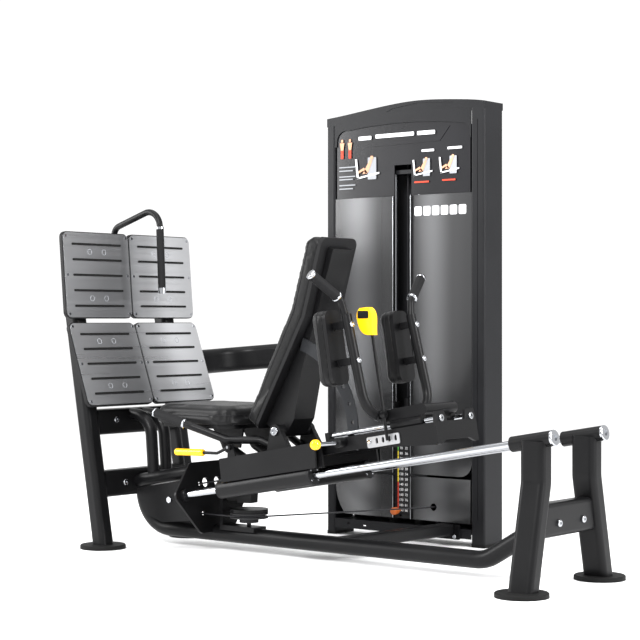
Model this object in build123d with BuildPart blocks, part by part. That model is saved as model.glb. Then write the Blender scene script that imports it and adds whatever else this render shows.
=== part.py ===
from build123d import *
import math
import os

# Leg press / hack squat machine, millimetres, +Z up.
# Origin: on the floor, at the centre of the machine's footprint.
# +X runs up along the guide rails, +Y points from the press towards the weight tower.

# ---- driving dimensions ------------------------------------------------------------------
LEG_X = 977.0            # right-hand leg line; stations along the press are measured from it
MID_Y = -212.0           # centre plane of the press
SLOPE = 10.0             # incline of the guide rails, degrees
RAIL_Z = 475.0           # rail axis height at the leg line
RAIL_HALF = 155.0        # half the spacing of the two rails
RAIL_R = 12.5
RAIL_LEFT = -1520.0      # rail ends, along the rail from the leg line
RAIL_RIGHT = 62.0
FLOOR_GAP = 15.0         # thickness of the round floor pads
PAD_R = 85.0
FOOT_HALF = 238.5        # half the spacing of the floor pads
LEG_TUBE = 65.0
LEG_CORNER = 20.0
LEG_DEEP = 88.0          # right-hand legs, along the rails
WALL = 3.0
BASE_R = 30.0            # main base tube
BASE_Z = 62.0
TRAVEL = 750.0           # carriage travel along the rails

TOWER_LEFT = LEG_X - 1465.0
TOWER_RIGHT = LEG_X - 716.0
TOWER_FRONT = 427.0
TOWER_BACK = 553.0
COLUMN_W = 40.0
COLUMN_TOP = 1645.0
STACK_X = LEG_X - 1110.0
STACK_Y = 487.0
PLATE_COUNT = 20
PLATE_T = 20.0
STACK_BOTTOM = 85.0
GUIDE_HALF = 60.0

HINGE_U = -1099.0        # backrest hinge, along and above the rail axis
HINGE_W = 175.0
BACK_ANGLE = 56.7        # backrest frame above the horizontal

UPPER_W = 124.0          # shoulder rods above the rail axis
UPPER_HALF = 86.2
UPPER_R = 10.0

CABLE_R = 3.0

COS = math.cos(math.radians(SLOPE))
SIN = math.sin(math.radians(SLOPE))


def rail_point(u, w, offset=0.0):
    """Point u along the rail and w square above it; offset is measured from the centre plane."""
    return Vector(LEG_X + u * COS - w * SIN, MID_Y + offset, RAIL_Z + u * SIN + w * COS)


# Side view of the rails: x runs along the rail, y square above it, the normal points to -Y.
rail_side = Plane(origin=rail_point(0, 0), x_dir=(COS, 0, SIN), z_dir=(0, -1, 0))


def rail_section(u, w=0.0, offset=0.0):
    """Plane square to the rail: x points to +Y, y square above the rail, normal up the rail."""
    return Plane(origin=rail_point(u, w, offset), x_dir=(0, 1, 0), z_dir=(COS, 0, SIN))


HINGE = rail_point(HINGE_U, HINGE_W)
back_dir = Vector(math.cos(math.radians(BACK_ANGLE)), 0, math.sin(math.radians(BACK_ANGLE)))
back_side = Plane(origin=HINGE, x_dir=back_dir, z_dir=(0, -1, 0))

os.makedirs("parts", exist_ok=True)


def save(piece, name):
    piece.part.label = name
    export_step(piece.part, f"parts/{name}.step")


def round_tube(points, radius, bend=None, wall=None):
    """Round tube, or bar without a wall, along a polyline with rounded corners."""
    with BuildPart() as tube:
        with BuildLine() as route:
            if len(points) == 2:
                Line(*points)
            else:
                FilletPolyline(*points, radius=bend)
        with BuildSketch(Plane(origin=route.line @ 0, z_dir=route.line % 0)):
            Circle(radius)
            if wall:
                Circle(radius - wall, mode=Mode.SUBTRACT)
        sweep(path=route.line)
    return tube.part


def box_tube(points, width, height, corner, bend=None, wall=None, x_dir=(0, 1, 0)):
    """Rectangular tube with round corners along a polyline; width lies along x_dir."""
    with BuildPart() as tube:
        with BuildLine() as route:
            if len(points) == 2:
                Line(*points)
            else:
                FilletPolyline(*points, radius=bend)
        with BuildSketch(Plane(origin=route.line @ 0, x_dir=x_dir, z_dir=route.line % 0)):
            RectangleRounded(width, height, corner)
            if wall:
                RectangleRounded(width - 2 * wall, height - 2 * wall, corner - wall, mode=Mode.SUBTRACT)
        sweep(path=route.line)
    return tube.part


def domed_bolt(plane, radius, height):
    """Button-head bolt seen from outside: domed head with a hexagon recess."""
    with BuildPart() as bolt:
        with BuildSketch(plane):
            Circle(radius)
        extrude(amount=height)
        fillet(bolt.faces().sort_by(Axis(plane.origin, plane.z_dir))[-1].edges(), height * 0.45)
        with BuildSketch(plane.offset(height)):
            RegularPolygon(radius * 0.42, 6)
        extrude(amount=-height * 0.5, mode=Mode.SUBTRACT)
    return bolt.part


def pulley(plane, groove_r, width, bore):
    """Grooved wheel centred on the plane, its axle along the plane's normal."""
    rim = groove_r + 6
    with BuildPart() as wheel:
        with BuildSketch(plane.offset(-width / 2)):
            Circle(rim)
        extrude(amount=width)
        with BuildSketch(plane.offset(-CABLE_R - 1)):
            Circle(rim + 1)
            Circle(groove_r - CABLE_R - 0.5, mode=Mode.SUBTRACT)
        extrude(amount=2 * CABLE_R + 2, mode=Mode.SUBTRACT)
        with BuildSketch(plane.offset(width / 2)):
            Circle(groove_r - 12)
            Circle(bore + 9, mode=Mode.SUBTRACT)
        extrude(amount=-4, mode=Mode.SUBTRACT)
        with BuildSketch(plane.offset(-width / 2)):
            Circle(bore)
        extrude(amount=width, mode=Mode.SUBTRACT)
    return wheel.part


# ---- right-hand legs ---------------------------------------------------------------------
LEG_BEND_Z = 345.0
CLAMP_R = 25.0
leg_routes = []
for side in (-1, 1):
    leg_routes.append(
        [
            (LEG_X, MID_Y + side * RAIL_HALF, RAIL_Z),
            (LEG_X, MID_Y + side * RAIL_HALF, LEG_BEND_Z),
            (LEG_X, MID_Y + side * FOOT_HALF, -30.0),
        ]
    )
legs_filled = [box_tube(route, LEG_TUBE, LEG_DEEP, LEG_CORNER, bend=90) for route in leg_routes]

# Each leg carries the short tube that clamps the upper end of its rail.
with BuildPart() as legs:
    for route in leg_routes:
        add(box_tube(route, LEG_TUBE, LEG_DEEP, LEG_CORNER, bend=90, wall=WALL))
    split(bisect_by=Plane.XY.offset(FLOOR_GAP), keep=Keep.TOP)
    for side in (-1, 1):
        with BuildSketch(rail_section(-110, 0, side * RAIL_HALF)):
            Circle(CLAMP_R)
        extrude(amount=220, mode=Mode.SUBTRACT)
        with BuildSketch(rail_section(-88, 0, side * RAIL_HALF)):
            Circle(CLAMP_R)
            Circle(RAIL_R + 0.05, mode=Mode.SUBTRACT)
        extrude(amount=150)
save(legs, "legs")

with BuildPart() as rails:
    for side in (-1, 1):
        with BuildSketch(rail_section(RAIL_LEFT, 0, side * RAIL_HALF)):
            Circle(RAIL_R)
        extrude(amount=RAIL_RIGHT - RAIL_LEFT)
save(rails, "guide_rails")

with BuildPart() as caps:
    for side in (-1, 1):
        add(domed_bolt(rail_section(RAIL_RIGHT, 0, side * RAIL_HALF), 26, 9))

# ---- foot-plate end ----------------------------------------------------------------------
UPRIGHT_X = LEG_X - 1833.0
KNEE = (UPRIGHT_X - 154.0, 900.0)
upright_routes = []
for side in (-1, 1):
    y = MID_Y + side * FOOT_HALF
    upright_routes.append(
        [
            (UPRIGHT_X + 8, y, -30.0),
            (KNEE[0], y, KNEE[1]),
            (UPRIGHT_X - 173.5, y, 1130.0),
        ]
    )
uprights_filled = [box_tube(route, LEG_TUBE, LEG_TUBE, LEG_CORNER, bend=300) for route in upright_routes]

UPPER_CROSS = (LEG_X - 1912.0, 465.0)
LOWER_CROSS = (LEG_X - 1871.5, 235.0)
LEG_CROSS = (LEG_X, 224.0)
cross_sizes = ((UPPER_CROSS, 60, 96), (LOWER_CROSS, 60, 100), (LEG_CROSS, 56, 108))
with BuildPart() as crosses:
    for spot, deep, high in cross_sizes:
        with BuildSketch(Plane.XZ.offset(-(MID_Y - 215))):
            with Locations(spot):
                RectangleRounded(deep, high, 14)
                RectangleRounded(deep - 2 * WALL, high - 2 * WALL, 11, mode=Mode.SUBTRACT)
        extrude(amount=-430)
    for filled in legs_filled + uprights_filled:
        add(filled, mode=Mode.SUBTRACT)
cross_solids = [s for s in crosses.part.solids() if abs(s.center().Y - MID_Y) < 50]
with BuildPart() as cross_members:
    for solid in cross_solids:
        add(solid)
save(cross_members, "cross_members")

# Footprints of the cross-members, used to fit other tubes against them.
cross_filled = []
for spot, deep, high in cross_sizes:
    with BuildPart() as block:
        with BuildSketch(Plane.XZ.offset(-(MID_Y - 215))):
            with Locations(spot):
                RectangleRounded(deep, high, 14)
        extrude(amount=-430)
    cross_filled.append(block.part)

# Flat-oval beam parallel to the rails, from the lower cross-member to the rail bracket.
BEAM_W = 86.0
BRACKET_BACK = RAIL_LEFT - 10.0
with BuildPart() as beam:
    with BuildSketch(rail_section(-1885, BEAM_W)):
        RectangleRounded(130, 50, 24)
        RectangleRounded(124, 44, 21, mode=Mode.SUBTRACT)
    extrude(amount=BRACKET_BACK + 1885)
    add(cross_filled[1], mode=Mode.SUBTRACT)
with BuildPart() as beam_kept:
    add(beam.part.solids().sort_by(SortBy.VOLUME)[-1])
with BuildPart() as beam_filled:
    with BuildSketch(rail_section(-1885, BEAM_W)):
        RectangleRounded(130, 50, 24)
    extrude(amount=BRACKET_BACK + 1885)

with BuildPart() as braces:
    for side in (-1, 1):
        y = MID_Y + side * 35
        route = [
            (UPPER_CROSS[0], y, 492),
            (LEG_X - 1786, y, 484),
            (LEG_X - 1769, y, 265),
        ]
        add(round_tube(route, 22.5, bend=85, wall=WALL))
    add(beam_filled.part, mode=Mode.SUBTRACT)
    add(cross_filled[0], mode=Mode.SUBTRACT)
brace_solids = braces.part.solids().sort_by(SortBy.VOLUME)[-2:]
with BuildPart() as beam_frame:
    add(beam_kept.part)
    for solid in brace_solids:
        add(solid)
save(beam_frame, "main_beam")

base_route = [
    (-882, MID_Y, 235),
    (-862, MID_Y, BASE_Z),
    (690, MID_Y, BASE_Z),
    (962, MID_Y, 227),
]
link_route = [(32, MID_Y, 60), (98, 421, 60)]
with BuildPart() as base_filled:
    add(round_tube(base_route, BASE_R, bend=140))

# Base tube with the branch that ties it to the weight tower.
with BuildPart() as base:
    add(box_tube(link_route, 60, 44, 10, wall=WALL, x_dir=(1, 0, 0)))
    split(bisect_by=Plane.XZ.offset(-421), keep=Keep.TOP)
    add(base_filled.part, mode=Mode.SUBTRACT)
branch = base.part.solids().sort_by(Axis.Y)[-1]
with BuildPart() as base_tube:
    add(round_tube(base_route, BASE_R, bend=140, wall=WALL))
    for block in cross_filled[1:] + [beam_filled.part]:
        add(block, mode=Mode.SUBTRACT)
main_run = base_tube.part.solids().sort_by(SortBy.VOLUME)[-1]
with BuildPart() as base_frame:
    add(main_run)
    add(branch)
    with BuildSketch(Plane.XZ.offset(-421)):
        with Locations((98, 52)):
            RectangleRounded(110, 56, 6)
    extrude(amount=-6)
save(base_frame, "base_tube")

with BuildPart() as floor_pads:
    for x in (LEG_X, UPRIGHT_X):
        for side in (-1, 1):
            with BuildSketch(Plane.XY):
                with Locations((x, MID_Y + side * FOOT_HALF)):
                    Circle(PAD_R)
            extrude(amount=FLOOR_GAP)
    chamfer(floor_pads.faces().sort_by(Axis.Z)[-4:].edges(), 3)

# The cable comes down beside the rails, round the return pulley and back along the floor.
FLOOR_R = 64.0
RETURN_R = 42.0
RETURN_ZC = 138.0 + RETURN_R
RETURN_W = 36.0 - RETURN_R
RETURN_XC = LEG_X - (RETURN_W - (RETURN_ZC - RAIL_Z) * COS) / SIN
RETURN_U = (RETURN_XC - LEG_X) * COS + (RETURN_ZC - RAIL_Z) * SIN

# Plate square to the rails that holds their lower ends.
with BuildPart() as rail_bracket:
    with BuildSketch(rail_section(BRACKET_BACK)) as bracket_face:
        Polygon((206, 0), (103, 117), (-103, 117), (-206, 0), (-90, -145), (90, -145), align=None)
        fillet(bracket_face.vertices(), 26)
        with Locations((-32, 39), (32, 39)):
            Circle(18, mode=Mode.SUBTRACT)
        with Locations((-64, 36), (-64, -73)):
            Circle(9, mode=Mode.SUBTRACT)
    extrude(amount=10)
    for side in (-1, 1):
        with BuildSketch(rail_section(RAIL_LEFT, 0, side * RAIL_HALF)):
            Circle(22)
            Circle(RAIL_R + 0.05, mode=Mode.SUBTRACT)
        extrude(amount=20)
    # far cheek of the return pulley
    with BuildSketch(rail_side.offset(46)):
        Polygon((BRACKET_BACK, 20), (BRACKET_BACK, -60), (-1690, -25), (-1690, 15), align=None)
        with Locations((RETURN_U, RETURN_W)):
            Circle(7.95, mode=Mode.SUBTRACT)
    extrude(amount=6)
    # near cheek, a large guard plate
    with BuildSketch(rail_side.offset(78)):
        Polygon(
            (BRACKET_BACK, 58), (BRACKET_BACK, -98), (-1718, -84), (-1802, -43), (-1830, 30), (-1828, 58),
            align=None,
        )
        with Locations((RETURN_U, RETURN_W)):
            Circle(7.95, mode=Mode.SUBTRACT)
    extrude(amount=6)
    add(base_filled.part, mode=Mode.SUBTRACT)
save(rail_bracket, "rail_bracket")

# ---- cable route -------------------------------------------------------------------------
FLOOR_C = (-342.0, MID_Y, 138.0)
UP_X = 60.0
UP_Y = 505.0
CABLE_PLANE = MID_Y - FLOOR_R

with BuildPart() as return_pulley:
    add(pulley(Plane(origin=(RETURN_XC, CABLE_PLANE, RETURN_ZC), z_dir=(0, -1, 0)), RETURN_R, 18, 8))
save(return_pulley, "return_pulley")
with BuildPart() as floor_pulley:
    add(pulley(Plane(origin=FLOOR_C), FLOOR_R, 20, 8.0))
    with BuildSketch(Plane.XY.offset(112)):
        with Locations((FLOOR_C[0], FLOOR_C[1])):
            Circle(35)
            Circle(8.0, mode=Mode.SUBTRACT)
    extrude(amount=16)
save(floor_pulley, "floor_pulley")

# The cable leaves the floor pulley square to the line from the pulley's axle to the tangent point.
reach_x = UP_X - FLOOR_C[0]
reach_y = UP_Y - FLOOR_C[1]
reach = math.hypot(reach_x, reach_y)
out_angle = math.atan2(reach_y, reach_x) + math.asin(FLOOR_R / reach)
out_x = math.cos(out_angle)
out_y = math.sin(out_angle)
corner_x = FLOOR_C[0] + FLOOR_R * math.tan(out_angle / 2)
top_r = math.hypot(UP_X - STACK_X, UP_Y - STACK_Y) / 2
TOP_ZC = 1545.0
BASE_PULLEY_R = 32.0
BASE_ZC = 138.0 + BASE_PULLEY_R
base_centre = Vector(UP_X - out_x * BASE_PULLEY_R, UP_Y - out_y * BASE_PULLEY_R, BASE_ZC)
with BuildPart() as base_pulley:
    add(pulley(Plane(origin=base_centre, z_dir=(out_y, -out_x, 0)), BASE_PULLEY_R, 18, 8))
save(base_pulley, "base_pulley")
top_centre = Vector((UP_X + STACK_X) / 2, (UP_Y + STACK_Y) / 2, TOP_ZC)
top_normal = (UP_Y - STACK_Y, STACK_X - UP_X, 0)
with BuildPart() as top_pulley:
    add(pulley(Plane(origin=top_centre, z_dir=top_normal), top_r, 18, 8))
save(top_pulley, "top_pulley")

ANCHOR_U = -1299.0
anchor = rail_point(ANCHOR_U, 36, -FLOOR_R)
wrap_x = RETURN_XC - RETURN_R
slack = math.tan(math.radians(SLOPE)) * (wrap_x - LEG_X)
upper_turn_z = RAIL_Z + slack + 36.0 / COS
press_route = [
    (anchor.X, CABLE_PLANE, anchor.Z),
    (wrap_x, CABLE_PLANE, upper_turn_z),
    (wrap_x, CABLE_PLANE, 138.0),
    (corner_x, CABLE_PLANE, 138.0),
    (UP_X, UP_Y, 138.0),
    (UP_X, UP_Y, TOP_ZC - 20),
]
press_bends = [RETURN_R - 0.01, RETURN_R - 0.01, FLOOR_R, BASE_PULLEY_R]
with BuildPart() as press_cable:
    with BuildLine() as press_line:
        FilletPolyline(*press_route, radius=press_bends)
    with BuildSketch(Plane(origin=press_line.line @ 0, z_dir=press_line.line % 0)):
        Circle(CABLE_R)
    sweep(path=press_line.line)
STACK_TOP = STACK_BOTTOM + PLATE_COUNT * PLATE_T
stack_drop = [
    (UP_X, UP_Y, TOP_ZC - 20),
    (UP_X, UP_Y, TOP_ZC + top_r),
    (STACK_X, STACK_Y, TOP_ZC + top_r),
    (STACK_X, STACK_Y, TOP_ZC - 20),
]
with BuildPart() as cable:
    add(press_cable.part)
    with BuildLine() as top_line:
        FilletPolyline(*stack_drop, radius=top_r - 0.01)
    with BuildSketch(Plane(origin=top_line.line @ 0, z_dir=top_line.line % 0)):
        Circle(CABLE_R)
    sweep(path=top_line.line)
save(cable, "press_cable")
with BuildPart() as stack_cable:
    with Locations((STACK_X, STACK_Y, STACK_TOP + 60)):
        Cylinder(CABLE_R, TOP_ZC - 20 - STACK_TOP - 60, align=(Align.CENTER, Align.CENTER, Align.MIN))
save(stack_cable, "stack_cable")

# Bracket of the floor pulley with its cover disc, and the post that stops the carriage.
with BuildPart() as pulley_bracket:
    with BuildSketch(Plane.XZ.offset(-(MID_Y - 35))):
        with BuildLine():
            Polyline(
                (-455, 80), (-455, 215), (-440, 215), (-440, 98), (-290, 98), (-290, 80), (-455, 80),
            )
        make_face()
    extrude(amount=-70)
    with BuildSketch(Plane.XY.offset(97)):
        with Locations((FLOOR_C[0], FLOOR_C[1])):
            Circle(7.95)
    extrude(amount=54)
    with BuildSketch(Plane.XY.offset(150)):
        with Locations((FLOOR_C[0], FLOOR_C[1])):
            Circle(70)
    extrude(amount=12)
    add(base_filled.part, mode=Mode.SUBTRACT)
save(pulley_bracket, "pulley_bracket")

STOP_FACE = -383.3
with BuildPart() as buffers:
    with BuildSketch(Plane(origin=(-440, MID_Y, 197), z_dir=(1, 0, 0))):
        Circle(17)
    extrude(amount=STOP_FACE - 0.3 + 440)
    for side in (-1, 1):
        with BuildSketch(Plane.XY.offset(64)):
            with Locations((STACK_X + side * GUIDE_HALF, STACK_Y)):
                Circle(24)
                Circle(10.05, mode=Mode.SUBTRACT)
        extrude(amount=STACK_BOTTOM - 64)
save(buffers, "rubber_buffers")

# ---- weight tower ------------------------------------------------------------------------
DEPTH = TOWER_BACK - TOWER_FRONT
TOWER_MID = (TOWER_FRONT + TOWER_BACK) / 2
arch = [(-488, 1651), (-198, 1682), (-47, 1691), (65, 1687), (154, 1680), (230, 1672), (261, 1667)]
with BuildPart() as cap_filled:
    with BuildSketch(Plane.XZ.offset(-TOWER_FRONT)):
        with BuildLine():
            Spline(*arch)
            Line(arch[-1], (261, 1640))
            Spline((261, 1640), (60, 1656), (-47, 1660), (-198, 1650), (-488, 1618))
            Line((-488, 1618), arch[0])
        make_face()
    extrude(amount=-DEPTH)
with BuildPart() as tower_cap:
    add(cap_filled.part)
    with BuildSketch(Plane.XZ.offset(-TOWER_FRONT)):
        Polygon((-195, 1658), (-166, 1668), (-47, 1682), (120, 1672), (140, 1662), (100, 1658), align=None)
    extrude(amount=-2, mode=Mode.SUBTRACT)
save(tower_cap, "tower_cap")

RIGHT_X = 201.0
with BuildPart() as columns:
    for x_start, x_end in ((TOWER_LEFT, TOWER_LEFT + COLUMN_W), (RIGHT_X, TOWER_RIGHT)):
        with BuildSketch(Plane.XY.offset(12)):
            with Locations(((x_start + x_end) / 2, TOWER_MID)):
                RectangleRounded(x_end - x_start, DEPTH, 8)
                RectangleRounded(x_end - x_start - 2 * WALL, DEPTH - 2 * WALL, 5, mode=Mode.SUBTRACT)
        extrude(amount=1690)
    # shadow groove down the front of the right column
    with Locations(((RIGHT_X + 29), TOWER_FRONT, 850)):
        Box(3, 3, 1500, mode=Mode.SUBTRACT)
    add(cap_filled.part, mode=Mode.SUBTRACT)
column_solids = [s for s in columns.part.solids() if s.center().Z < 1400]

# Face between the columns that frames the top of the placard.
with BuildPart() as face_panel:
    with BuildSketch(Plane.XZ.offset(-TOWER_FRONT)):
        with BuildLine():
            Line((TOWER_LEFT + COLUMN_W, 1535), (TOWER_LEFT + COLUMN_W, 1690))
            Line((TOWER_LEFT + COLUMN_W, 1690), (RIGHT_X, 1690))
            Line((RIGHT_X, 1690), (RIGHT_X, 1535))
            Line((RIGHT_X, 1535), (193, 1535))
            Line((193, 1535), (193, 1558))
            ThreePointArc((193, 1558), (185, 1581), (161, 1592))
            ThreePointArc((161, 1592), (-110, 1611), (-384, 1597))
            ThreePointArc((-384, 1597), (-422, 1588), (-438, 1556))
            Line((-438, 1556), (-438, 1535))
            Line((-438, 1535), (TOWER_LEFT + COLUMN_W, 1535))
        make_face()
    extrude(amount=-4)
    add(cap_filled.part, mode=Mode.SUBTRACT)
with BuildPart() as tower_columns:
    for solid in column_solids:
        add(solid)
    add(face_panel.part.solids().sort_by(Axis.Z)[0])
save(tower_columns, "tower_columns")

# Cross-channel at the foot of the tower; it carries the guide rods and the base pulley.
with BuildPart() as tower_base:
    with BuildSketch(Plane.YZ.offset(TOWER_LEFT + COLUMN_W)):
        with Locations((TOWER_MID, 46)):
            Rectangle(DEPTH, 36)
        with Locations((TOWER_MID, 44)):
            Rectangle(DEPTH - 6, 33, mode=Mode.SUBTRACT)
    extrude(amount=RIGHT_X - TOWER_LEFT - COLUMN_W)
    for side in (-1, 1):
        with BuildSketch(Plane.XY.offset(64)):
            with Locations((STACK_X + side * GUIDE_HALF, STACK_Y)):
                Circle(10)
        extrude(amount=-3, mode=Mode.SUBTRACT)
    with Locations((-380, TOWER_FRONT + 1, 46), (-300, TOWER_FRONT + 1, 46), (140, TOWER_FRONT + 1, 46)):
        Box(14, 6, 8, mode=Mode.SUBTRACT)
    # cheeks of the base pulley
    for side in (-1, 1):
        cheek = Plane(origin=base_centre, x_dir=(out_x, out_y, 0), z_dir=(out_y, -out_x, 0))
        with BuildSketch(cheek.offset(side * 15 - 3)):
            Polygon((-22, 64 - BASE_ZC), (24, 64 - BASE_ZC), (12, 14), (-12, 14), align=None)
            Circle(7.95, mode=Mode.SUBTRACT)
        extrude(amount=6)
save(tower_base, "tower_base")

with BuildPart() as all_pads:
    add(floor_pads.part)
    for x_start, x_end in ((TOWER_LEFT, TOWER_LEFT + COLUMN_W), (RIGHT_X, TOWER_RIGHT)):
        with BuildSketch(Plane.XY):
            with Locations(((x_start + x_end) / 2, TOWER_MID)):
                RectangleRounded(x_end - x_start + 4, DEPTH, 8)
        extrude(amount=12)
save(all_pads, "floor_pads")

with BuildPart() as back_panel:
    with BuildSketch(Plane.XZ.offset(-TOWER_BACK)):
        with BuildLine():
            Line((TOWER_LEFT + COLUMN_W, 1600), (TOWER_LEFT + COLUMN_W, 64))
            Line((TOWER_LEFT + COLUMN_W, 64), (RIGHT_X, 64))
            Line((RIGHT_X, 64), (RIGHT_X, 1600))
            Line((RIGHT_X, 1600), (TOWER_LEFT + COLUMN_W, 1600))
        make_face()
    extrude(amount=3)
save(back_panel, "tower_back_panel")

SHEET_Y = TOWER_FRONT + 5
SLOT_LEFT = -158.0
SLOT_RIGHT = -77.0
with BuildPart() as placard:
    with BuildSketch(Plane.XZ.offset(-SHEET_Y)):
        with BuildLine():
            ThreePointArc((-385, 1599), (-424, 1590), (-440, 1556))
            Polyline((-440, 1556), (-440, 1330), (195, 1330), (195, 1560))
            ThreePointArc((195, 1560), (187, 1583), (162, 1594))
            ThreePointArc((162, 1594), (-110, 1613), (-385, 1599))
        make_face()
        with Locations(((SLOT_LEFT + SLOT_RIGHT) / 2, 1389)):
            Rectangle(SLOT_RIGHT - SLOT_LEFT, 120, mode=Mode.SUBTRACT)
    extrude(amount=-4)
with BuildPart() as placards:
    add(placard.part)
    with BuildSketch(Plane.XZ.offset(-SHEET_Y)):
        Polygon((-350, 1577), (-118, 1590), (103, 1585), (57, 1531), (-290, 1526), align=None)
    extrude(amount=2)
save(placards, "header_placard")

cable_in_x = UP_X - (UP_Y - SHEET_Y) * out_x / out_y
with BuildPart() as shrouds:
    with BuildSketch(Plane.XZ.offset(-SHEET_Y)):
        with Locations(((-448 + SLOT_LEFT) / 2, 794)):
            Rectangle(SLOT_LEFT + 448, 1070)
        with BuildLine():
            Line((SLOT_RIGHT, 1329), (SLOT_RIGHT, 259))
            Line((SLOT_RIGHT, 259), (150, 259))
            ThreePointArc((150, 259), (186, 276), (201, 312))
            Line((201, 312), (201, 1329))
            Line((201, 1329), (SLOT_RIGHT, 1329))
        make_face()
        with BuildLine():
            Line((-440, 250), (SLOT_LEFT, 250))
            Line((SLOT_LEFT, 250), (SLOT_LEFT, 85))
            Line((SLOT_LEFT, 85), (-400, 85))
            ThreePointArc((-400, 85), (-438, 150), (-440, 250))
        make_face()
        with BuildLine():
            Polyline((SLOT_RIGHT, 250), (SLOT_RIGHT, 85), (195, 85), (195, 250), (SLOT_RIGHT, 250))
        make_face()
        with Locations((cable_in_x, 138)):
            Circle(14, mode=Mode.SUBTRACT)
    extrude(amount=-3)
    # folded edges on both sides of the slot
    for z_start, z_end in ((85, 250), (259, 1329)):
        for x in (SLOT_LEFT - 1.5, SLOT_RIGHT + 1.5):
            with Locations((x, SHEET_Y - 3, (z_start + z_end) / 2)):
                Box(3, 12, z_end - z_start)
save(shrouds, "tower_shrouds")

with BuildPart() as guide_rods:
    for side in (-1, 1):
        with BuildSketch(Plane.XY.offset(61)):
            with Locations((STACK_X + side * GUIDE_HALF, STACK_Y)):
                Circle(10)
        extrude(amount=1430 - 61)
save(guide_rods, "stack_guide_rods")

# Top bridge between the columns: holds the rods and the top pulley.
with BuildPart() as bridge:
    with BuildSketch(Plane.XY.offset(1415)):
        with Locations(((TOWER_LEFT + COLUMN_W + RIGHT_X) / 2, STACK_Y + 4)):
            Rectangle(RIGHT_X - TOWER_LEFT - COLUMN_W, 90)
        for side in (-1, 1):
            with Locations((STACK_X + side * GUIDE_HALF, STACK_Y)):
                Circle(10, mode=Mode.SUBTRACT)
        with Locations((STACK_X, STACK_Y), (UP_X, UP_Y)):
            Circle(14, mode=Mode.SUBTRACT)
    extrude(amount=15)
    top_plane = Plane(origin=top_centre, x_dir=(0, 0, 1), z_dir=top_normal)
    for side in (-1, 1):
        with BuildSketch(top_plane.offset(side * 15 - 3)):
            Polygon((1430 - TOP_ZC, -40), (1430 - TOP_ZC, 40), (18, 16), (18, -16), align=None)
            Circle(7.95, mode=Mode.SUBTRACT)
        extrude(amount=6)
save(bridge, "top_bridge")

# Axles of the four cable pulleys' vertical wheels.
with BuildPart() as pulley_axles:
    for plane in (
        Plane(origin=(RETURN_XC, CABLE_PLANE, RETURN_ZC), z_dir=(0, -1, 0)),
        Plane(origin=base_centre, z_dir=(out_y, -out_x, 0)),
        Plane(origin=top_centre, z_dir=top_normal),
    ):
        with BuildSketch(plane.offset(-20)):
            Circle(7.95)
        extrude(amount=40)
        for start in (-26, 20):
            with BuildSketch(plane.offset(start)):
                RegularPolygon(12, 6)
            extrude(amount=6)

# ---- weight stack ------------------------------------------------------------------------
PLATE_GAP = 0.6
PIN_ROW = 1
pin_z = STACK_BOTTOM + PLATE_T * (PIN_ROW + 0.5)


def plate_solid(index):
    bottom = STACK_BOTTOM + index * PLATE_T
    with BuildPart() as plate:
        with BuildSketch(Plane.XY.offset(bottom)):
            with Locations((STACK_X, STACK_Y)):
                RectangleRounded(250, 98, 6)
            for side in (-1, 1):
                with Locations((STACK_X + side * GUIDE_HALF, STACK_Y)):
                    Circle(12, mode=Mode.SUBTRACT)
            with Locations((STACK_X, STACK_Y)):
                Circle(13, mode=Mode.SUBTRACT)
        extrude(amount=PLATE_T - PLATE_GAP)
        chamfer(plate.faces().sort_by(Axis.Z)[-1].outer_wire().edges(), 1.2)
        with BuildSketch(Plane.XZ.offset(-STACK_Y + 60)):
            with Locations((STACK_X, bottom + PLATE_T / 2)):
                Circle(5.5)
        extrude(amount=-60, mode=Mode.SUBTRACT)
    return plate.part


with BuildPart() as resting_plate:
    add(plate_solid(0))
save(resting_plate, "resting_plate")
with BuildPart() as weight_plates:
    for index in range(1, PLATE_COUNT):
        add(plate_solid(index))
save(weight_plates, "weight_plates")

with BuildPart() as top_plate:
    with BuildSketch(Plane.XY.offset(STACK_TOP)):
        with Locations((STACK_X, STACK_Y)):
            RectangleRounded(250, 98, 6)
        for side in (-1, 1):
            with Locations((STACK_X + side * GUIDE_HALF, STACK_Y)):
                Circle(10.05, mode=Mode.SUBTRACT)
    extrude(amount=24)
    for side in (-1, 1):
        with BuildSketch(Plane.XY.offset(STACK_TOP + 24)):
            with Locations((STACK_X + side * GUIDE_HALF, STACK_Y)):
                Circle(17)
                Circle(10.05, mode=Mode.SUBTRACT)
        extrude(amount=22)
    with BuildSketch(Plane.XY.offset(STACK_TOP + 24)):
        with Locations((STACK_X, STACK_Y)):
            Circle(14)
    extrude(amount=36)
    # selector stem through the middle of the plates
    with BuildSketch(Plane.XY.offset(STACK_TOP)):
        with Locations((STACK_X, STACK_Y)):
            Circle(11)
    extrude(amount=STACK_BOTTOM + PLATE_T + 2 - STACK_TOP)
    for index in range(PIN_ROW, PLATE_COUNT):
        with BuildSketch(Plane.XZ.offset(-STACK_Y + 20)):
            with Locations((STACK_X, STACK_BOTTOM + PLATE_T * (index + 0.5))):
                Circle(4.05)
        extrude(amount=-40, mode=Mode.SUBTRACT)
save(top_plate, "top_plate")

with BuildPart() as selector_pin:
    with BuildSketch(Plane.XZ.offset(-STACK_Y - 8)):
        with Locations((STACK_X, pin_z)):
            Circle(4)
    extrude(amount=8 + STACK_Y - 410)
    knob_plane = Plane(origin=(STACK_X, 410, pin_z), z_dir=(0, -1, 0))
    with BuildSketch(knob_plane.offset(-12)):
        Circle(9)
    extrude(amount=12)
    with BuildSketch(knob_plane):
        Circle(14)
    extrude(amount=24)
    fillet(selector_pin.faces().sort_by(Axis.Y)[0].edges(), 6)
save(selector_pin, "selector_pin")

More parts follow.
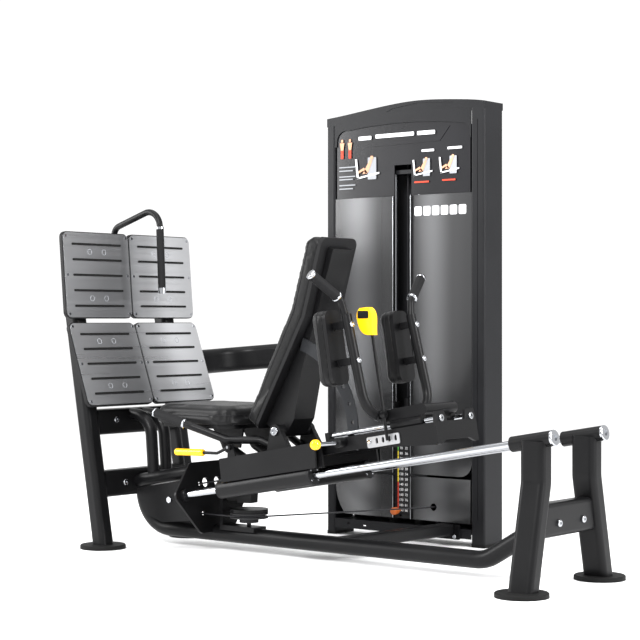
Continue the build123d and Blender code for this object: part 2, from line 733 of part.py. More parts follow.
# ---- link arm from the rear upright to the tower -----------------------------------------
with BuildPart() as link_arm:
    arm_route = [(-950, MID_Y + FOOT_HALF, 673), (-905, 350, 690), (-470, 497, 728)]
    add(box_tube(arm_route, 50, 98, 24, bend=170, wall=WALL, x_dir=(1, 0, 0)))
    add(uprights_filled[1], mode=Mode.SUBTRACT)
    split(bisect_by=Plane.YZ.offset(TOWER_LEFT), keep=Keep.BOTTOM)
with BuildPart() as link_kept:
    add(link_arm.part.solids().sort_by(SortBy.VOLUME)[-1])
save(link_kept, "link_arm")

# ---- foot plates -------------------------------------------------------------------------
def panel_plane(bottom, top, offset):
    """Plane of one row of foot plates: x towards +Y, y up the plate, normal facing the user."""
    run = Vector(top[0] - bottom[0], 0, top[1] - bottom[1])
    middle = Vector((top[0] + bottom[0]) / 2, MID_Y, (top[1] + bottom[1]) / 2)
    normal = Vector(run.Z, 0, -run.X).normalized()
    return Plane(origin=middle + normal * offset, x_dir=(0, 1, 0), z_dir=normal), run.length


UPPER_ROW = ((-937, 860), (-964, 1179))
LOWER_ROW = ((-820, 537), (-929, 838))
PANEL_W = 337.0
PANEL_GAP = 8.0
panel_x = (PANEL_W + PANEL_GAP) / 2
with BuildPart() as panels:
    for row in (UPPER_ROW, LOWER_ROW):
        plane, height = panel_plane(*row, -4)
        with BuildSketch(plane):
            with Locations((-panel_x, 0), (panel_x, 0)):
                RectangleRounded(PANEL_W, height, 22)
        extrude(amount=4)
save(panels, "foot_plates")
with BuildPart() as backings:
    for row in (UPPER_ROW, LOWER_ROW):
        plane, height = panel_plane(*row, -18)
        with BuildSketch(plane):
            with Locations((-panel_x, 0), (panel_x, 0)):
                RectangleRounded(PANEL_W + 7, height + 7, 25)
        extrude(amount=14)
save(backings, "foot_plate_backings")
with BuildPart() as strips:
    for row in (UPPER_ROW, LOWER_ROW):
        plane, height = panel_plane(*row, 0)
        pitch = height * 0.182
        with BuildSketch(plane):
            for column in (-panel_x, panel_x):
                for level in range(5):
                    with Locations((column, (level - 2) * pitch)):
                        RectangleRounded(255, 8, 3.9)
        extrude(amount=2.5)
save(strips, "grip_strips")
with BuildPart() as panel_screws:
    for row in (UPPER_ROW, LOWER_ROW):
        plane, height = panel_plane(*row, 0)
        with BuildSketch(plane):
            for column in (-panel_x, panel_x):
                for sx in (-1, 1):
                    for sy in (-1, 0, 1):
                        with Locations((column + sx * 156, sy * (height / 2 - 13))):
                            Circle(5)
        extrude(amount=2)

# Uprights with the horizontal rails that carry the foot plates.
with BuildPart() as upright_frame:
    for row, level in ((LOWER_ROW, -105), (UPPER_ROW, -125), (UPPER_ROW, 85)):
        plane, height = panel_plane(*row, -38)
        with BuildSketch(plane):
            with Locations((0, level)):
                Rectangle(600, 36)
        extrude(amount=20)
        with BuildSketch(plane):
            for side in (-1, 1):
                with Locations((side * FOOT_HALF, level)):
                    Rectangle(40, 30)
        extrude(amount=-75)
    for filled in uprights_filled:
        add(filled, mode=Mode.SUBTRACT)
rail_solids = [s for s in upright_frame.part.solids() if s.bounding_box().max.X > -985]
with BuildPart() as foot_plate_rails:
    for solid in rail_solids:
        if solid.volume > 100000:
            add(solid)
with BuildPart() as uprights:
    add(foot_plate_rails.part)
    for side in (-1, 1):
        lean = Vector(UPRIGHT_X - 173.5 - KNEE[0], 0, 230).normalized()
        top = Vector(UPRIGHT_X - 173.5, MID_Y + side * FOOT_HALF, 1130)
        with BuildSketch(Plane(origin=top, x_dir=(0, 1, 0), z_dir=lean)):
            RectangleRounded(LEG_TUBE, LEG_TUBE, LEG_CORNER)
        extrude(amount=4)
    for route in upright_routes:
        add(box_tube(route, LEG_TUBE, LEG_TUBE, LEG_CORNER, bend=300, wall=WALL))
    split(bisect_by=Plane.XY.offset(FLOOR_GAP), keep=Keep.TOP)
save(uprights, "foot_uprights")

# ---- grab handle above the foot plates ---------------------------------------------------
HANG_LOW = Vector(-782, MID_Y, 960)
HANG_HIGH = Vector(-797, MID_Y, 1284)
hang_dir = (HANG_HIGH - HANG_LOW).normalized()
hang = Plane(origin=HANG_LOW, x_dir=(0, 1, 0), z_dir=hang_dir)
with BuildPart() as grab_handle:
    arm_points = [(-1040, MID_Y, 1080), (-1040, MID_Y, 1206), tuple(HANG_HIGH), tuple(HANG_LOW)]
    add(round_tube(arm_points, 12, bend=[38, 60]))
    with Locations((-1009, MID_Y, 1103)):
        Box(44, 24, 30)
    for part in (foot_plate_rails.part, backings.part):
        add(part, mode=Mode.SUBTRACT)
save(grab_handle, "grab_handle")
with BuildPart() as grab_grip:
    with BuildSketch(hang.offset(12)):
        Circle(14.5)
        Circle(12, mode=Mode.SUBTRACT)
    extrude(amount=224)
save(grab_grip, "grab_grip")
with BuildPart() as end_caps:
    add(caps.part)
    with BuildSketch(hang.offset(-9)):
        Circle(14)
    extrude(amount=9)
    for start, length in ((0, 12), (236, 9)):
        with BuildSketch(hang.offset(start)):
            Circle(15.5)
            Circle(12, mode=Mode.SUBTRACT)
        extrude(amount=length)
save(end_caps, "chrome_end_caps")

with BuildPart() as frame_bolts:
    bolt_spots = [
        (UPPER_CROSS[0] + 30, -124, 473),
        (UPPER_CROSS[0] + 30, 74, 473),
        (LOWER_CROSS[0] + 30, -115, 237),
        (LOWER_CROSS[0] + 30, 115, 237),
        (LEG_CROSS[0] + 28, -66, 213),
        (LEG_CROSS[0] + 28, 82, 213),
    ]
    for x, dy, z in bolt_spots:
        add(domed_bolt(Plane(origin=(x, MID_Y + dy, z), z_dir=(1, 0, 0)), 12, 8))
    for x in (60, 136):
        add(domed_bolt(Plane(origin=(x, 415, 36), z_dir=(0, -1, 0)), 8, 6))
    add(panel_screws.part)
    add(pulley_axles.part)
save(frame_bolts, "frame_bolts")

# ---- carriage ----------------------------------------------------------------------------
TUBE_START = -1324.0
TUBE_END = -912.0
BEAR_R = 33.0
DECK_W = 100.0
with BuildPart() as bearing_tubes:
    for side in (-1, 1):
        with BuildSketch(rail_section(TUBE_START, 0, side * RAIL_HALF)):
            Circle(BEAR_R)
            Circle(BEAR_R - 4, mode=Mode.SUBTRACT)
        extrude(amount=TUBE_END - TUBE_START)
save(bearing_tubes, "bearing_tubes")
with BuildPart() as bearing_rings:
    for side in (-1, 1):
        for start, plug in ((TUBE_START - 12, TUBE_START), (TUBE_END, TUBE_END - 20)):
            with BuildSketch(rail_section(start, 0, side * RAIL_HALF)):
                Circle(BEAR_R)
                Circle(RAIL_R + 0.05, mode=Mode.SUBTRACT)
            extrude(amount=12)
            with BuildSketch(rail_section(plug, 0, side * RAIL_HALF)):
                Circle(BEAR_R - 4)
                Circle(RAIL_R + 0.05, mode=Mode.SUBTRACT)
            extrude(amount=20)
save(bearing_rings, "bearing_rings")

# Deck welded from a plate, two webs on the tubes, the hinge lugs and the rod mounts.
LUG_IN = 78.0
with BuildPart() as deck:
    with BuildSketch(rail_section(-1298, 0)):
        with Locations((0, DECK_W + 4)):
            Rectangle(360, 8)
        for side in (-1, 1):
            with Locations((side * RAIL_HALF, DECK_W / 2 + 10)):
                Rectangle(10, DECK_W - 20)
    extrude(amount=444)
    for side in (-1, 1):
        with BuildSketch(rail_side.offset(side * (LUG_IN + 10) - 10)):
            with BuildLine():
                Line((-1150, 108), (-1046, 108))
                Line((-1046, 108), (HINGE_U + 24, HINGE_W))
                ThreePointArc((HINGE_U + 24, HINGE_W), (HINGE_U, HINGE_W + 24), (HINGE_U - 24, HINGE_W))
                Line((HINGE_U - 24, HINGE_W), (-1150, 108))
            make_face()
            with Locations((HINGE_U, HINGE_W)):
                Circle(9.9, mode=Mode.SUBTRACT)
        extrude(amount=20)
        with BuildSketch(rail_section(-872, 0, side * UPPER_HALF)):
            with Locations((0, 123)):
                Rectangle(34, 30)
        extrude(amount=18)
    with BuildSketch(rail_section(-1298, 0, -FLOOR_R)):
        with Locations((0, 62)):
            Rectangle(20, 76)
    extrude(amount=14)
    for side in (-1, 1):
        with BuildSketch(rail_section(-1330, 0, side * RAIL_HALF)):
            Circle(BEAR_R)
        extrude(amount=440, mode=Mode.SUBTRACT)
    # strap that meets the stop, and pivot ear of the release lever
    with BuildSketch(Plane.XZ.offset(-(MID_Y - 20))):
        Polygon(
            (STOP_FACE, 182), (-318, 184), (-306, 336), (-319, 352), (-345, 330), (STOP_FACE, 212),
            align=None,
        )
    extrude(amount=-40)
    with BuildSketch(Plane.XZ.offset(-(MID_Y - 160))):
        Polygon((-300, 358), (-262, 366), (-278, 410), (-296, 408), align=None)
        with Locations((-287, 398)):
            Circle(4.9, mode=Mode.SUBTRACT)
    extrude(amount=6)
with BuildPart() as carriage_deck:
    add(deck.part)
    for side in (-1, 1):
        with BuildSketch(rail_side.offset(side * 184 - 4)):
            Polygon((-1298, 108), (-854, 108), (-865, 22.5), (-1301, 23.5), align=None)
        extrude(amount=8)
save(carriage_deck, "carriage_deck")

PIN_U = -784.0
PIN_W = 96.0
ROD_END = -403.0
SLOT_W = 83.0
SLOTS = (-640.0, -613.7, -587.3, -561.0)
with BuildPart() as rod_frame:
    for side in (-1, 1):
        with BuildSketch(rail_side.offset(side * 113 - 4)):
            Polygon(
                (-1000, 100), (-1000, 62), (-720, 65), (ROD_END, 38),
                (ROD_END, 112), (-854, 112), (-854, 100),
                align=None,
            )
            if side == 1:
                with Locations((PIN_U, PIN_W)):
                    Circle(12, mode=Mode.SUBTRACT)
                with Locations(*[(u, SLOT_W) for u in SLOTS]):
                    RectangleRounded(10, 20, 4.9, mode=Mode.SUBTRACT)
        extrude(amount=8)
    with BuildSketch(rail_section(ROD_END)):
        Polygon(
            (-120, 98), (-112, 148), (-62, 148), (-50, 114), (50, 114), (62, 148),
            (112, 148), (120, 98), (118, 40), (100, 38), (67, 52), (-67, 52), (-100, 38), (-118, 40),
            align=None,
        )
    extrude(amount=10)
with BuildPart() as upper_rods:
    for side in (-1, 1):
        with BuildSketch(rail_section(-854, UPPER_W, side * UPPER_HALF)):
            Circle(UPPER_R)
        extrude(amount=ROD_END + 854)
save(upper_rods, "upper_rods")
with BuildPart() as rack:
    with BuildSketch(rail_side.offset(117)):
        with Locations((-613.5, 80)):
            RectangleRounded(137, 36, 6)
        with Locations((-671, 83)):
            Circle(5, mode=Mode.SUBTRACT)
        with Locations(*[(u, SLOT_W) for u in SLOTS]):
            RectangleRounded(10, 20, 4.9, mode=Mode.SUBTRACT)
    extrude(amount=4)
save(rack, "rack_plate")

QUAD_OUT = 65.0
pin_du = PIN_U - HINGE_U
pin_dw = PIN_W - HINGE_W
QUADRANT_R = math.hypot(pin_du, pin_dw)
PIN_ANGLE = math.degrees(math.atan2(pin_dw, pin_du)) + SLOPE
PIN_R = 7.0
with BuildPart() as rod_frame_full:
    add(rod_frame.part)
    with BuildSketch(rail_side.offset(117)):
        with Locations((PIN_U, PIN_W)):
            Circle(17)
    extrude(amount=36)
    with BuildSketch(rail_side.offset(QUAD_OUT + 1)):
        with Locations((PIN_U, PIN_W)):
            Circle(12)
    extrude(amount=52)
    with BuildSketch(rail_side.offset(QUAD_OUT)):
        with Locations((PIN_U, PIN_W)):
            Circle(PIN_R + 0.05)
    extrude(amount=100, mode=Mode.SUBTRACT)
save(rod_frame_full, "carriage_rod_frame")
with BuildPart() as pop_pin:
    with BuildSketch(rail_side.offset(QUAD_OUT + 0.5)):
        with Locations((PIN_U, PIN_W)):
            Circle(PIN_R)
    extrude(amount=197.5)
with BuildPart() as pop_knob:
    with BuildSketch(rail_side.offset(263)):
        with Locations((PIN_U, PIN_W)):
            Circle(16.5)
    extrude(amount=18)
    fillet(pop_knob.faces().sort_by(Axis.Y)[0].edges(), 6)
with BuildPart() as pop_pin_full:
    add(pop_pin.part)
    add(pop_knob.part)
save(pop_pin_full, "pop_pin")

# seat
SEAT_LEFT = -663.0
SEAT_RIGHT = -285.0
with BuildPart() as seat_pad:
    with BuildSketch(Plane.XY.offset(474)):
        with Locations(((SEAT_LEFT + SEAT_RIGHT) / 2, MID_Y)):
            RectangleRounded(SEAT_RIGHT - SEAT_LEFT, 360, 60)
    extrude(amount=64)
    fillet(seat_pad.faces().sort_by(Axis.Z)[-1].edges(), 20)
save(seat_pad, "seat_pad")
with BuildPart() as seat_frame:
    with BuildSketch(Plane.XY.offset(460)):
        with Locations(((SEAT_LEFT + SEAT_RIGHT) / 2, MID_Y)):
            RectangleRounded(SEAT_RIGHT - SEAT_LEFT - 24, 336, 50)
    extrude(amount=14)
    for side in (-1, 1):
        with BuildSketch(Plane.XZ.offset(-(MID_Y + side * 77 - 4))):
            Polygon((-449, 460), (-299, 460), (-315, 389), (-400, 389), align=None)
        extrude(amount=-8)
        y = MID_Y + side * 77
        add(round_tube([(-385, y, 420), (-385, y, 394), (-270, y, 336)], 19, bend=20))
    add(carriage_deck.part, mode=Mode.SUBTRACT)
seat_solids = seat_frame.part.solids()
with BuildPart() as seat_bracket:
    for solid in seat_solids:
        if solid.volume > 60000:
            add(solid)
save(seat_bracket, "seat_frame")

def mirrored(points, side):
    return [(x, MID_Y + side * (MID_Y - y), z) for x, y, z in points]


handle_points = [
    (-606, -427.5, 512), (-438, -419, 469), (-311, -369, 423), (-213, -300, 421), (-150, -281, 396),
]
with BuildPart() as side_handles:
    for side in (-1, 1):
        route = mirrored(handle_points, side)
        add(round_tube(route, 14, bend=38))
    add(carriage_deck.part, mode=Mode.SUBTRACT)
handle_solids = side_handles.part.solids().sort_by(SortBy.VOLUME)[-2:]
with BuildPart() as handles:
    for solid in handle_solids:
        add(solid)
save(handles, "side_handles")
with BuildPart() as handle_grips:
    for side in (-1, 1):
        ends = [Vector(*p) for p in mirrored(handle_points, side)[:2]]
        along = (ends[1] - ends[0]).normalized()
        with BuildSketch(Plane(origin=ends[0] + along * 4, z_dir=along)):
            Circle(17)
            Circle(14, mode=Mode.SUBTRACT)
        extrude(amount=136)
save(handle_grips, "handle_grips")

# ---- backrest ----------------------------------------------------------------------------
# The backrest seen from the front: x to +Y, y up along its frame.
back_face = Plane(origin=HINGE, x_dir=(0, 1, 0), z_dir=(back_dir.Z, 0, -back_dir.X))


def back_profile(points, half_width):
    with BuildPart() as slab:
        with BuildSketch(back_side.offset(-half_width)):
            Polygon(*points, align=None)
        extrude(amount=2 * half_width)
    return slab.part


with BuildPart() as cushion:
    cushion_points = [(-40, 135), (402, 178), (640, 252), (672, 236), (680, 205), (410, 122), (-45, 89)]
    add(back_profile(cushion_points, 100))
    fillet(cushion.edges().filter_by(Axis.Y).sort_by(Axis.Z)[-3:], 8)
    with BuildSketch(back_face):
        with Locations((0, 317.5)):
            RectangleRounded(200, 725, 28)
    extrude(amount=400, both=True, mode=Mode.INTERSECT)
save(cushion, "back_cushion")
with BuildPart() as back_shell:
    add(back_profile([(-45, 88), (410, 121), (682, 204), (687, 190), (414, 107), (-41, 74)], 100))
    with BuildSketch(back_face):
        with Locations((0, 321)):
            RectangleRounded(200, 732, 28)
    extrude(amount=400, both=True, mode=Mode.INTERSECT)
save(back_shell, "back_shell")
spine_points = [
    (-22, 74.5), (414, 106.3), (655, 179.5), (662, 158), (507, 116), (247, 49), (65, -22), (0, -22), (-22, 0),
]
with BuildPart() as spine:
    add(back_profile(spine_points, 57))
    with BuildSketch(back_side.offset(-54)):
        Polygon(*spine_points, align=None)
        offset(amount=-4, mode=Mode.REPLACE)
    extrude(amount=108, mode=Mode.SUBTRACT)
    with BuildSketch(back_side.offset(-77.4)):
        Circle(22)
    extrude(amount=154.8)
    with BuildSketch(back_side.offset(-90)):
        Circle(10.05)
    extrude(amount=180, mode=Mode.SUBTRACT)
save(spine, "back_spine")
angles = [PIN_ANGLE + 11.5 * step for step in range(6)]
with BuildPart() as quadrant:
    with BuildSketch(Plane(origin=HINGE, x_dir=(1, 0, 0), z_dir=(0, -1, 0)).offset(57)):
        Circle(345)
        Circle(300, mode=Mode.SUBTRACT)
        low = PIN_ANGLE - 5
        Polygon(
            (0, 0),
            (500 * math.cos(math.radians(low)), 500 * math.sin(math.radians(low))),
            (560, 200), (420, 500),
            (500 * math.cos(math.radians(73)), 500 * math.sin(math.radians(73))),
            align=None,
            mode=Mode.INTERSECT,
        )
        for angle in angles:
            with Locations(
                (QUADRANT_R * math.cos(math.radians(angle)), QUADRANT_R * math.sin(math.radians(angle)))
            ):
                Circle(PIN_R + 0.4, mode=Mode.SUBTRACT)
    extrude(amount=8)
save(quadrant, "recline_quadrant")

with BuildPart() as pivots:
    with BuildSketch(back_side.offset(-98)):
        Circle(9.9)
    extrude(amount=196)
    add(domed_bolt(Plane(origin=HINGE + Vector(0, -98, 0), z_dir=(0, -1, 0)), 16, 8))
    add(domed_bolt(Plane(origin=HINGE + Vector(0, 98, 0), z_dir=(0, 1, 0)), 16, 8))
    with BuildSketch(Plane(origin=(-287, MID_Y - 160, 398), z_dir=(0, -1, 0))):
        Circle(4.9)
    extrude(amount=22)
    for side in (-1, 1):
        for u in (TUBE_START - 12, TUBE_END + 12):
            facing = -1 if u < -1000 else 1
            for angle in (45, 135, 225, 315):
                spot = rail_point(
                    u,
                    24 * math.sin(math.radians(angle)),
                    side * RAIL_HALF + 24 * math.cos(math.radians(angle)),
                )
                add(domed_bolt(Plane(origin=spot, z_dir=(facing * COS, 0, facing * SIN)), 3, 2))
        add(domed_bolt(rail_section(ROD_END + 10, UPPER_W, side * UPPER_HALF), 12, 7))
    add(domed_bolt(rail_side.offset(121).shift_origin(rail_point(-671, 83, -121)), 8, 5))
save(pivots, "carriage_bolts")

# release lever beside the seat
LEVER_Y = MID_Y - 173
with BuildPart() as release_lever:
    lever_points = [
        (-540, LEVER_Y, 370), (-405, LEVER_Y, 373), (-342, LEVER_Y, 374), (-287, LEVER_Y, 398),
    ]
    add(round_tube(lever_points, 5.5, bend=20))
    with BuildSketch(Plane(origin=(-287, LEVER_Y + 6, 398), z_dir=(0, -1, 0))):
        Circle(10)
    extrude(amount=12)
    with BuildSketch(Plane(origin=(-287, LEVER_Y + 8, 398), z_dir=(0, -1, 0))):
        Circle(4.95)
    extrude(amount=16, mode=Mode.SUBTRACT)
save(release_lever, "release_lever")
with BuildPart() as release_grip:
    grip_dir = (Vector(-405, LEVER_Y, 373) - Vector(-540, LEVER_Y, 370)).normalized()
    with BuildSketch(Plane(origin=(-544, LEVER_Y, 369.9), z_dir=grip_dir)):
        Circle(12.5)
    extrude(amount=137)
    fillet(release_grip.edges(), 5)
    add(release_lever.part, mode=Mode.SUBTRACT)
save(release_grip, "release_grip")

# ---- shoulder carriage -------------------------------------------------------------------
yoke_points = [(252, -396.3, 869), (340, -399, 525), (340, -25, 525), (252, -27.7, 869)]
horn_points = [(253, -396, 850), (241, -412, 917), (204, -524, 1000)]
with BuildPart() as yoke:
    for side in (-1, 1):
        with BuildSketch(rail_section(-588, UPPER_W, side * UPPER_HALF)):
            Circle(20)
        extrude(amount=128)
        with BuildSketch(rail_side.offset(side * UPPER_HALF - 4)):
            Polygon((-645, 150), (-632, 180), (-450, 182), (-446, 150), (-470, 136), (-588, 136), align=None)
        extrude(amount=8)
    add(round_tube(yoke_points, 17, bend=88))
    add(round_tube([(497, MID_Y - 92, 555), (497, MID_Y + 92, 555)], 19))
    for side in (-1, 1):
        add(round_tube(mirrored(horn_points, -side), 12, bend=30))
        with BuildSketch(rail_section(-640, UPPER_W, side * UPPER_HALF)):
            Circle(UPPER_R + 0.05)
        extrude(amount=220, mode=Mode.SUBTRACT)
    # ear with the pin that the lock lever swings on
    with BuildSketch(rail_section(-615, 0)):
        Polygon((-142, 150), (-142, 178), (-90, 178), (-90, 150), align=None)
    extrude(amount=12)
    with BuildSketch(rail_section(-608, 164, -132)):
        Circle(4.95)
    extrude(amount=27)
save(yoke, "shoulder_yoke")

pad_dir = Vector(-34.5, 0, 214).normalized()
pad_face = Vector(-pad_dir.Z, 0, pad_dir.X)
with BuildPart() as pads:
    for side in (-1, 1):
        centre = Vector(198, MID_Y + side * 190.7, 755)
        with BuildSketch(Plane(origin=centre - pad_face * 6, x_dir=(0, 1, 0), z_dir=pad_face)):
            RectangleRounded(92, 256, 30)
        extrude(amount=48)
    fillet(pads.faces().sort_by(Axis.X)[0:2].edges(), 14)
save(pads, "shoulder_pads")
with BuildPart() as pad_backs:
    for side in (-1, 1):
        centre = Vector(198, MID_Y + side * 190.7, 755)
        with BuildSketch(Plane(origin=centre - pad_face * 20, x_dir=(0, 1, 0), z_dir=pad_face)):
            RectangleRounded(90, 253, 29)
        extrude(amount=14)
        for level in (-55, 70):
            with BuildSketch(
                Plane(origin=centre + pad_dir * level - pad_face * 20, x_dir=(0, 1, 0), z_dir=-pad_face)
            ):
                Rectangle(16, 24)
            extrude(amount=80)
    add(yoke.part, mode=Mode.SUBTRACT)
back_solids = pad_backs.part.solids().sort_by(SortBy.VOLUME)[-2:]
with BuildPart() as pad_backings:
    for solid in back_solids:
        add(solid)
save(pad_backings, "shoulder_pad_backs")
with BuildPart() as horn_grips:
    for side in (-1, 1):
        ends = [Vector(*p) for p in mirrored(horn_points, -side)[1:]]
        along = (ends[1] - ends[0]).normalized()
        with BuildSketch(Plane(origin=ends[0] + along * 22, z_dir=along)):
            Circle(17.5)
            Circle(12, mode=Mode.SUBTRACT)
        extrude(amount=116)
save(horn_grips, "horn_grips")

# lock lever: rod with a tooth in the rack, and a yellow head
ROD_Y = MID_Y - 132
rod_low = rail_point(SLOTS[2], SLOT_W, -132)
rod_high = Vector(322, ROD_Y, 803)
rod_dir = (rod_high - rod_low).normalized()
hub = rod_low + rod_dir * (81.0 / (rod_dir.Z * COS - rod_dir.X * SIN))
with BuildPart() as lock_rod:
    add(round_tube([tuple(rod_low - rod_dir * 6), tuple(rod_high + rod_dir * 40)], 5.5))
    hub_plane = Plane(origin=hub, x_dir=(0, 1, 0), z_dir=(COS, 0, SIN))
    with BuildSketch(hub_plane.offset(-9)):
        Circle(11)
    extrude(amount=18)
    with BuildSketch(Plane(origin=rod_low, z_dir=(0, 1, 0))):
        Circle(4)
    extrude(amount=10.5)
    with BuildSketch(hub_plane.offset(-30)):
        Circle(5.0)
    extrude(amount=60, mode=Mode.SUBTRACT)
save(lock_rod, "lock_rod")
with BuildPart() as lock_head:
    with BuildSketch(Plane.XZ.offset(-(ROD_Y + 15))):
        with BuildLine():
            Spline((312, 800), (286, 812), (270, 845), (268, 872), (280, 890))
            Line((280, 890), (310, 893))
            Spline((310, 893), (324, 880), (331, 840), (332, 800))
            Line((332, 800), (312, 800))
        make_face()
    extrude(amount=30)
    add(lock_rod.part, mode=Mode.SUBTRACT)
save(lock_head, "lock_head")
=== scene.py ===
import math

import bpy
import bmesh
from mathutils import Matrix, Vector


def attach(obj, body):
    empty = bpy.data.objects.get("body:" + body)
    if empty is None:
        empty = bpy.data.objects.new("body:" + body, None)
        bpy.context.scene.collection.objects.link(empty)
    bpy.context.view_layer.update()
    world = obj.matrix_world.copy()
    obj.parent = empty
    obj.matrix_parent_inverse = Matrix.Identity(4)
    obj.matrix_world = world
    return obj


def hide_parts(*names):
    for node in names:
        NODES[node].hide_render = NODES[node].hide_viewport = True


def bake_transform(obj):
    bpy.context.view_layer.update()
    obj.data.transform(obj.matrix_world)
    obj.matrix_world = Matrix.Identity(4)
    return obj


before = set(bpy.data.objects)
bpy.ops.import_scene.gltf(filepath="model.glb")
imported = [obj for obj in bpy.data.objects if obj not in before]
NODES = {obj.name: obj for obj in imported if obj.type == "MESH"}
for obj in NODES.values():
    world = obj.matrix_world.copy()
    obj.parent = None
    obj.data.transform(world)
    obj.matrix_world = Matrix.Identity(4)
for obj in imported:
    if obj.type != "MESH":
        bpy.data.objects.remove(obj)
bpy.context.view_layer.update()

SLOPE = math.radians(10.0)
MID_Y = -0.212

# ---- materials -----------------------------------------------------------------------------------


def material(name, color, rough=0.4, metal=0.0, grain=900.0, grain_depth=0.0004, blotch=6.0,
             spread=0.12, rough_spread=0.08, coat=0.0, stretch=(1.0, 1.0, 1.0), voronoi=False,
             sheen=0.0):
    """Surface with fine grain in relief, and slow changes of tone and gloss across it."""
    mat = bpy.data.materials.new(name)
    mat.use_nodes = True
    nodes = mat.node_tree.nodes
    links = mat.node_tree.links
    shader = nodes["Principled BSDF"]
    shader.inputs["Metallic"].default_value = metal
    shader.inputs["IOR"].default_value = 1.5
    shader.inputs["Coat Weight"].default_value = coat
    shader.inputs["Coat Roughness"].default_value = 0.12
    shader.inputs["Sheen Weight"].default_value = sheen
    shader.inputs["Specular IOR Level"].default_value = 0.14
    coords = nodes.new("ShaderNodeTexCoord")
    mapping = nodes.new("ShaderNodeMapping")
    mapping.inputs["Scale"].default_value = stretch
    links.new(coords.outputs["Object"], mapping.inputs["Vector"])
    slow = nodes.new("ShaderNodeTexNoise")
    slow.inputs["Scale"].default_value = blotch
    slow.inputs["Detail"].default_value = 5.0
    links.new(mapping.outputs["Vector"], slow.inputs["Vector"])
    tone = nodes.new("ShaderNodeValToRGB")
    tone.color_ramp.elements[0].position = 0.3
    tone.color_ramp.elements[1].position = 0.7
    tone.color_ramp.elements[0].color = [c * (1.0 - spread) for c in color] + [1.0]
    tone.color_ramp.elements[1].color = [min(1.0, c * (1.0 + spread)) for c in color] + [1.0]
    links.new(slow.outputs["Fac"], tone.inputs["Fac"])
    links.new(tone.outputs["Color"], shader.inputs["Base Color"])
    gloss = nodes.new("ShaderNodeMapRange")
    gloss.inputs["To Min"].default_value = max(0.02, rough - rough_spread)
    gloss.inputs["To Max"].default_value = min(1.0, rough + rough_spread)
    links.new(slow.outputs["Fac"], gloss.inputs["Value"])
    links.new(gloss.outputs["Result"], shader.inputs["Roughness"])
    fine = nodes.new("ShaderNodeTexVoronoi" if voronoi else "ShaderNodeTexNoise")
    fine.inputs["Scale"].default_value = grain
    links.new(mapping.outputs["Vector"], fine.inputs["Vector"])
    bump = nodes.new("ShaderNodeBump")
    bump.inputs["Strength"].default_value = 0.35
    bump.inputs["Distance"].default_value = grain_depth
    links.new(fine.outputs["Distance" if voronoi else "Fac"], bump.inputs["Height"])
    links.new(bump.outputs["Normal"], shader.inputs["Normal"])
    return mat


BLACK_COAT = material("black_powder_coat", (0.0042, 0.0042, 0.0046), rough=0.36, grain=1100,
                      grain_depth=0.0003)
DARK_COAT = material("dark_grey_powder_coat", (0.0085, 0.0087, 0.0098), rough=0.38, grain=1000,
                     grain_depth=0.0003)
PANEL_BLACK = material("panel_black", (0.02, 0.02, 0.022), rough=0.5, grain=700)
CHROME = material("chrome", (0.4, 0.41, 0.43), rough=0.09, metal=1.0, rough_spread=0.04, spread=0.03,
                  grain=400, grain_depth=0.00003)
STEEL = material("polished_steel", (0.74, 0.75, 0.77), rough=0.3, metal=0.85, rough_spread=0.08, spread=0.06,
                 grain=60, grain_depth=0.00005, blotch=3.0, stretch=(1.0, 0.3, 22.0))
SMOKED = material("smoked_shroud", (0.085, 0.088, 0.094), rough=0.22, metal=0.55, rough_spread=0.05,
                  spread=0.1, grain=1200, grain_depth=0.0001, blotch=2.0, coat=0.5)
FOLDED = material("folded_edge", (0.5, 0.51, 0.53), rough=0.28, metal=1.0, grain=300, grain_depth=0.00005)
LIGHT_GREY = material("grey_plate", (0.02, 0.021, 0.023), rough=0.36, metal=0.35, spread=0.08, grain=800)
RACK_GREY = material("rack_grey", (0.33, 0.335, 0.345), rough=0.34, metal=0.6, spread=0.08, grain=800)
RUBBER = material("black_rubber", (0.005, 0.005, 0.005), rough=0.68, grain=500, grain_depth=0.0005)
GRIP_RUBBER = material("grip_rubber", (0.006, 0.006, 0.0065), rough=0.62, grain=420, grain_depth=0.0008,
                       voronoi=True)
VINYL = material("upholstery", (0.0035, 0.0035, 0.0038), rough=0.36, grain=620, grain_depth=0.0006,
                 voronoi=True, spread=0.2, sheen=0.06)
SEAM = material("seam_piping", (0.009, 0.009, 0.01), rough=0.5, grain=900, voronoi=True)
PLASTIC = material("black_plastic", (0.005, 0.005, 0.0055), rough=0.48, grain=600)
YELLOW = material("yellow_plastic", (0.93, 0.5, 0.006), rough=0.3, grain=500, grain_depth=0.0002, spread=0.05,
                  coat=0.4)
ORANGE = material("orange_brown_plastic", (0.45, 0.11, 0.025), rough=0.32, grain=500, spread=0.08, coat=0.3)
IRON = material("painted_iron", (0.012, 0.012, 0.013), rough=0.5, grain=450, grain_depth=0.0006, spread=0.15)
NYLON = material("nylon", (0.02, 0.02, 0.021), rough=0.5, grain=700)
CABLE = material("coated_cable", (0.018, 0.018, 0.02), rough=0.4, grain=900, grain_depth=0.0002)
PLACARD = material("placard_face", (0.006, 0.006, 0.0075), rough=0.3, coat=0.3, grain=900, grain_depth=0.0001)
PRINT_WHITE = material("white_print", (0.75, 0.75, 0.76), rough=0.5, grain=900, grain_depth=0.0001,
                       spread=0.04)
PRINT_GREY = material("grey_print", (0.3, 0.31, 0.33), rough=0.5, grain=900, grain_depth=0.0001)
PRINT_SKIN = material("pale_orange_print", (0.6, 0.32, 0.2), rough=0.5, grain=900, grain_depth=0.0001)
GREEN = material("green_label", (0.1, 0.42, 0.08), rough=0.45, grain=900)
LABEL_YELLOW = material("yellow_label", (0.75, 0.55, 0.04), rough=0.45, grain=900)
RED = material("red_label", (0.6, 0.06, 0.03), rough=0.45, grain=900)
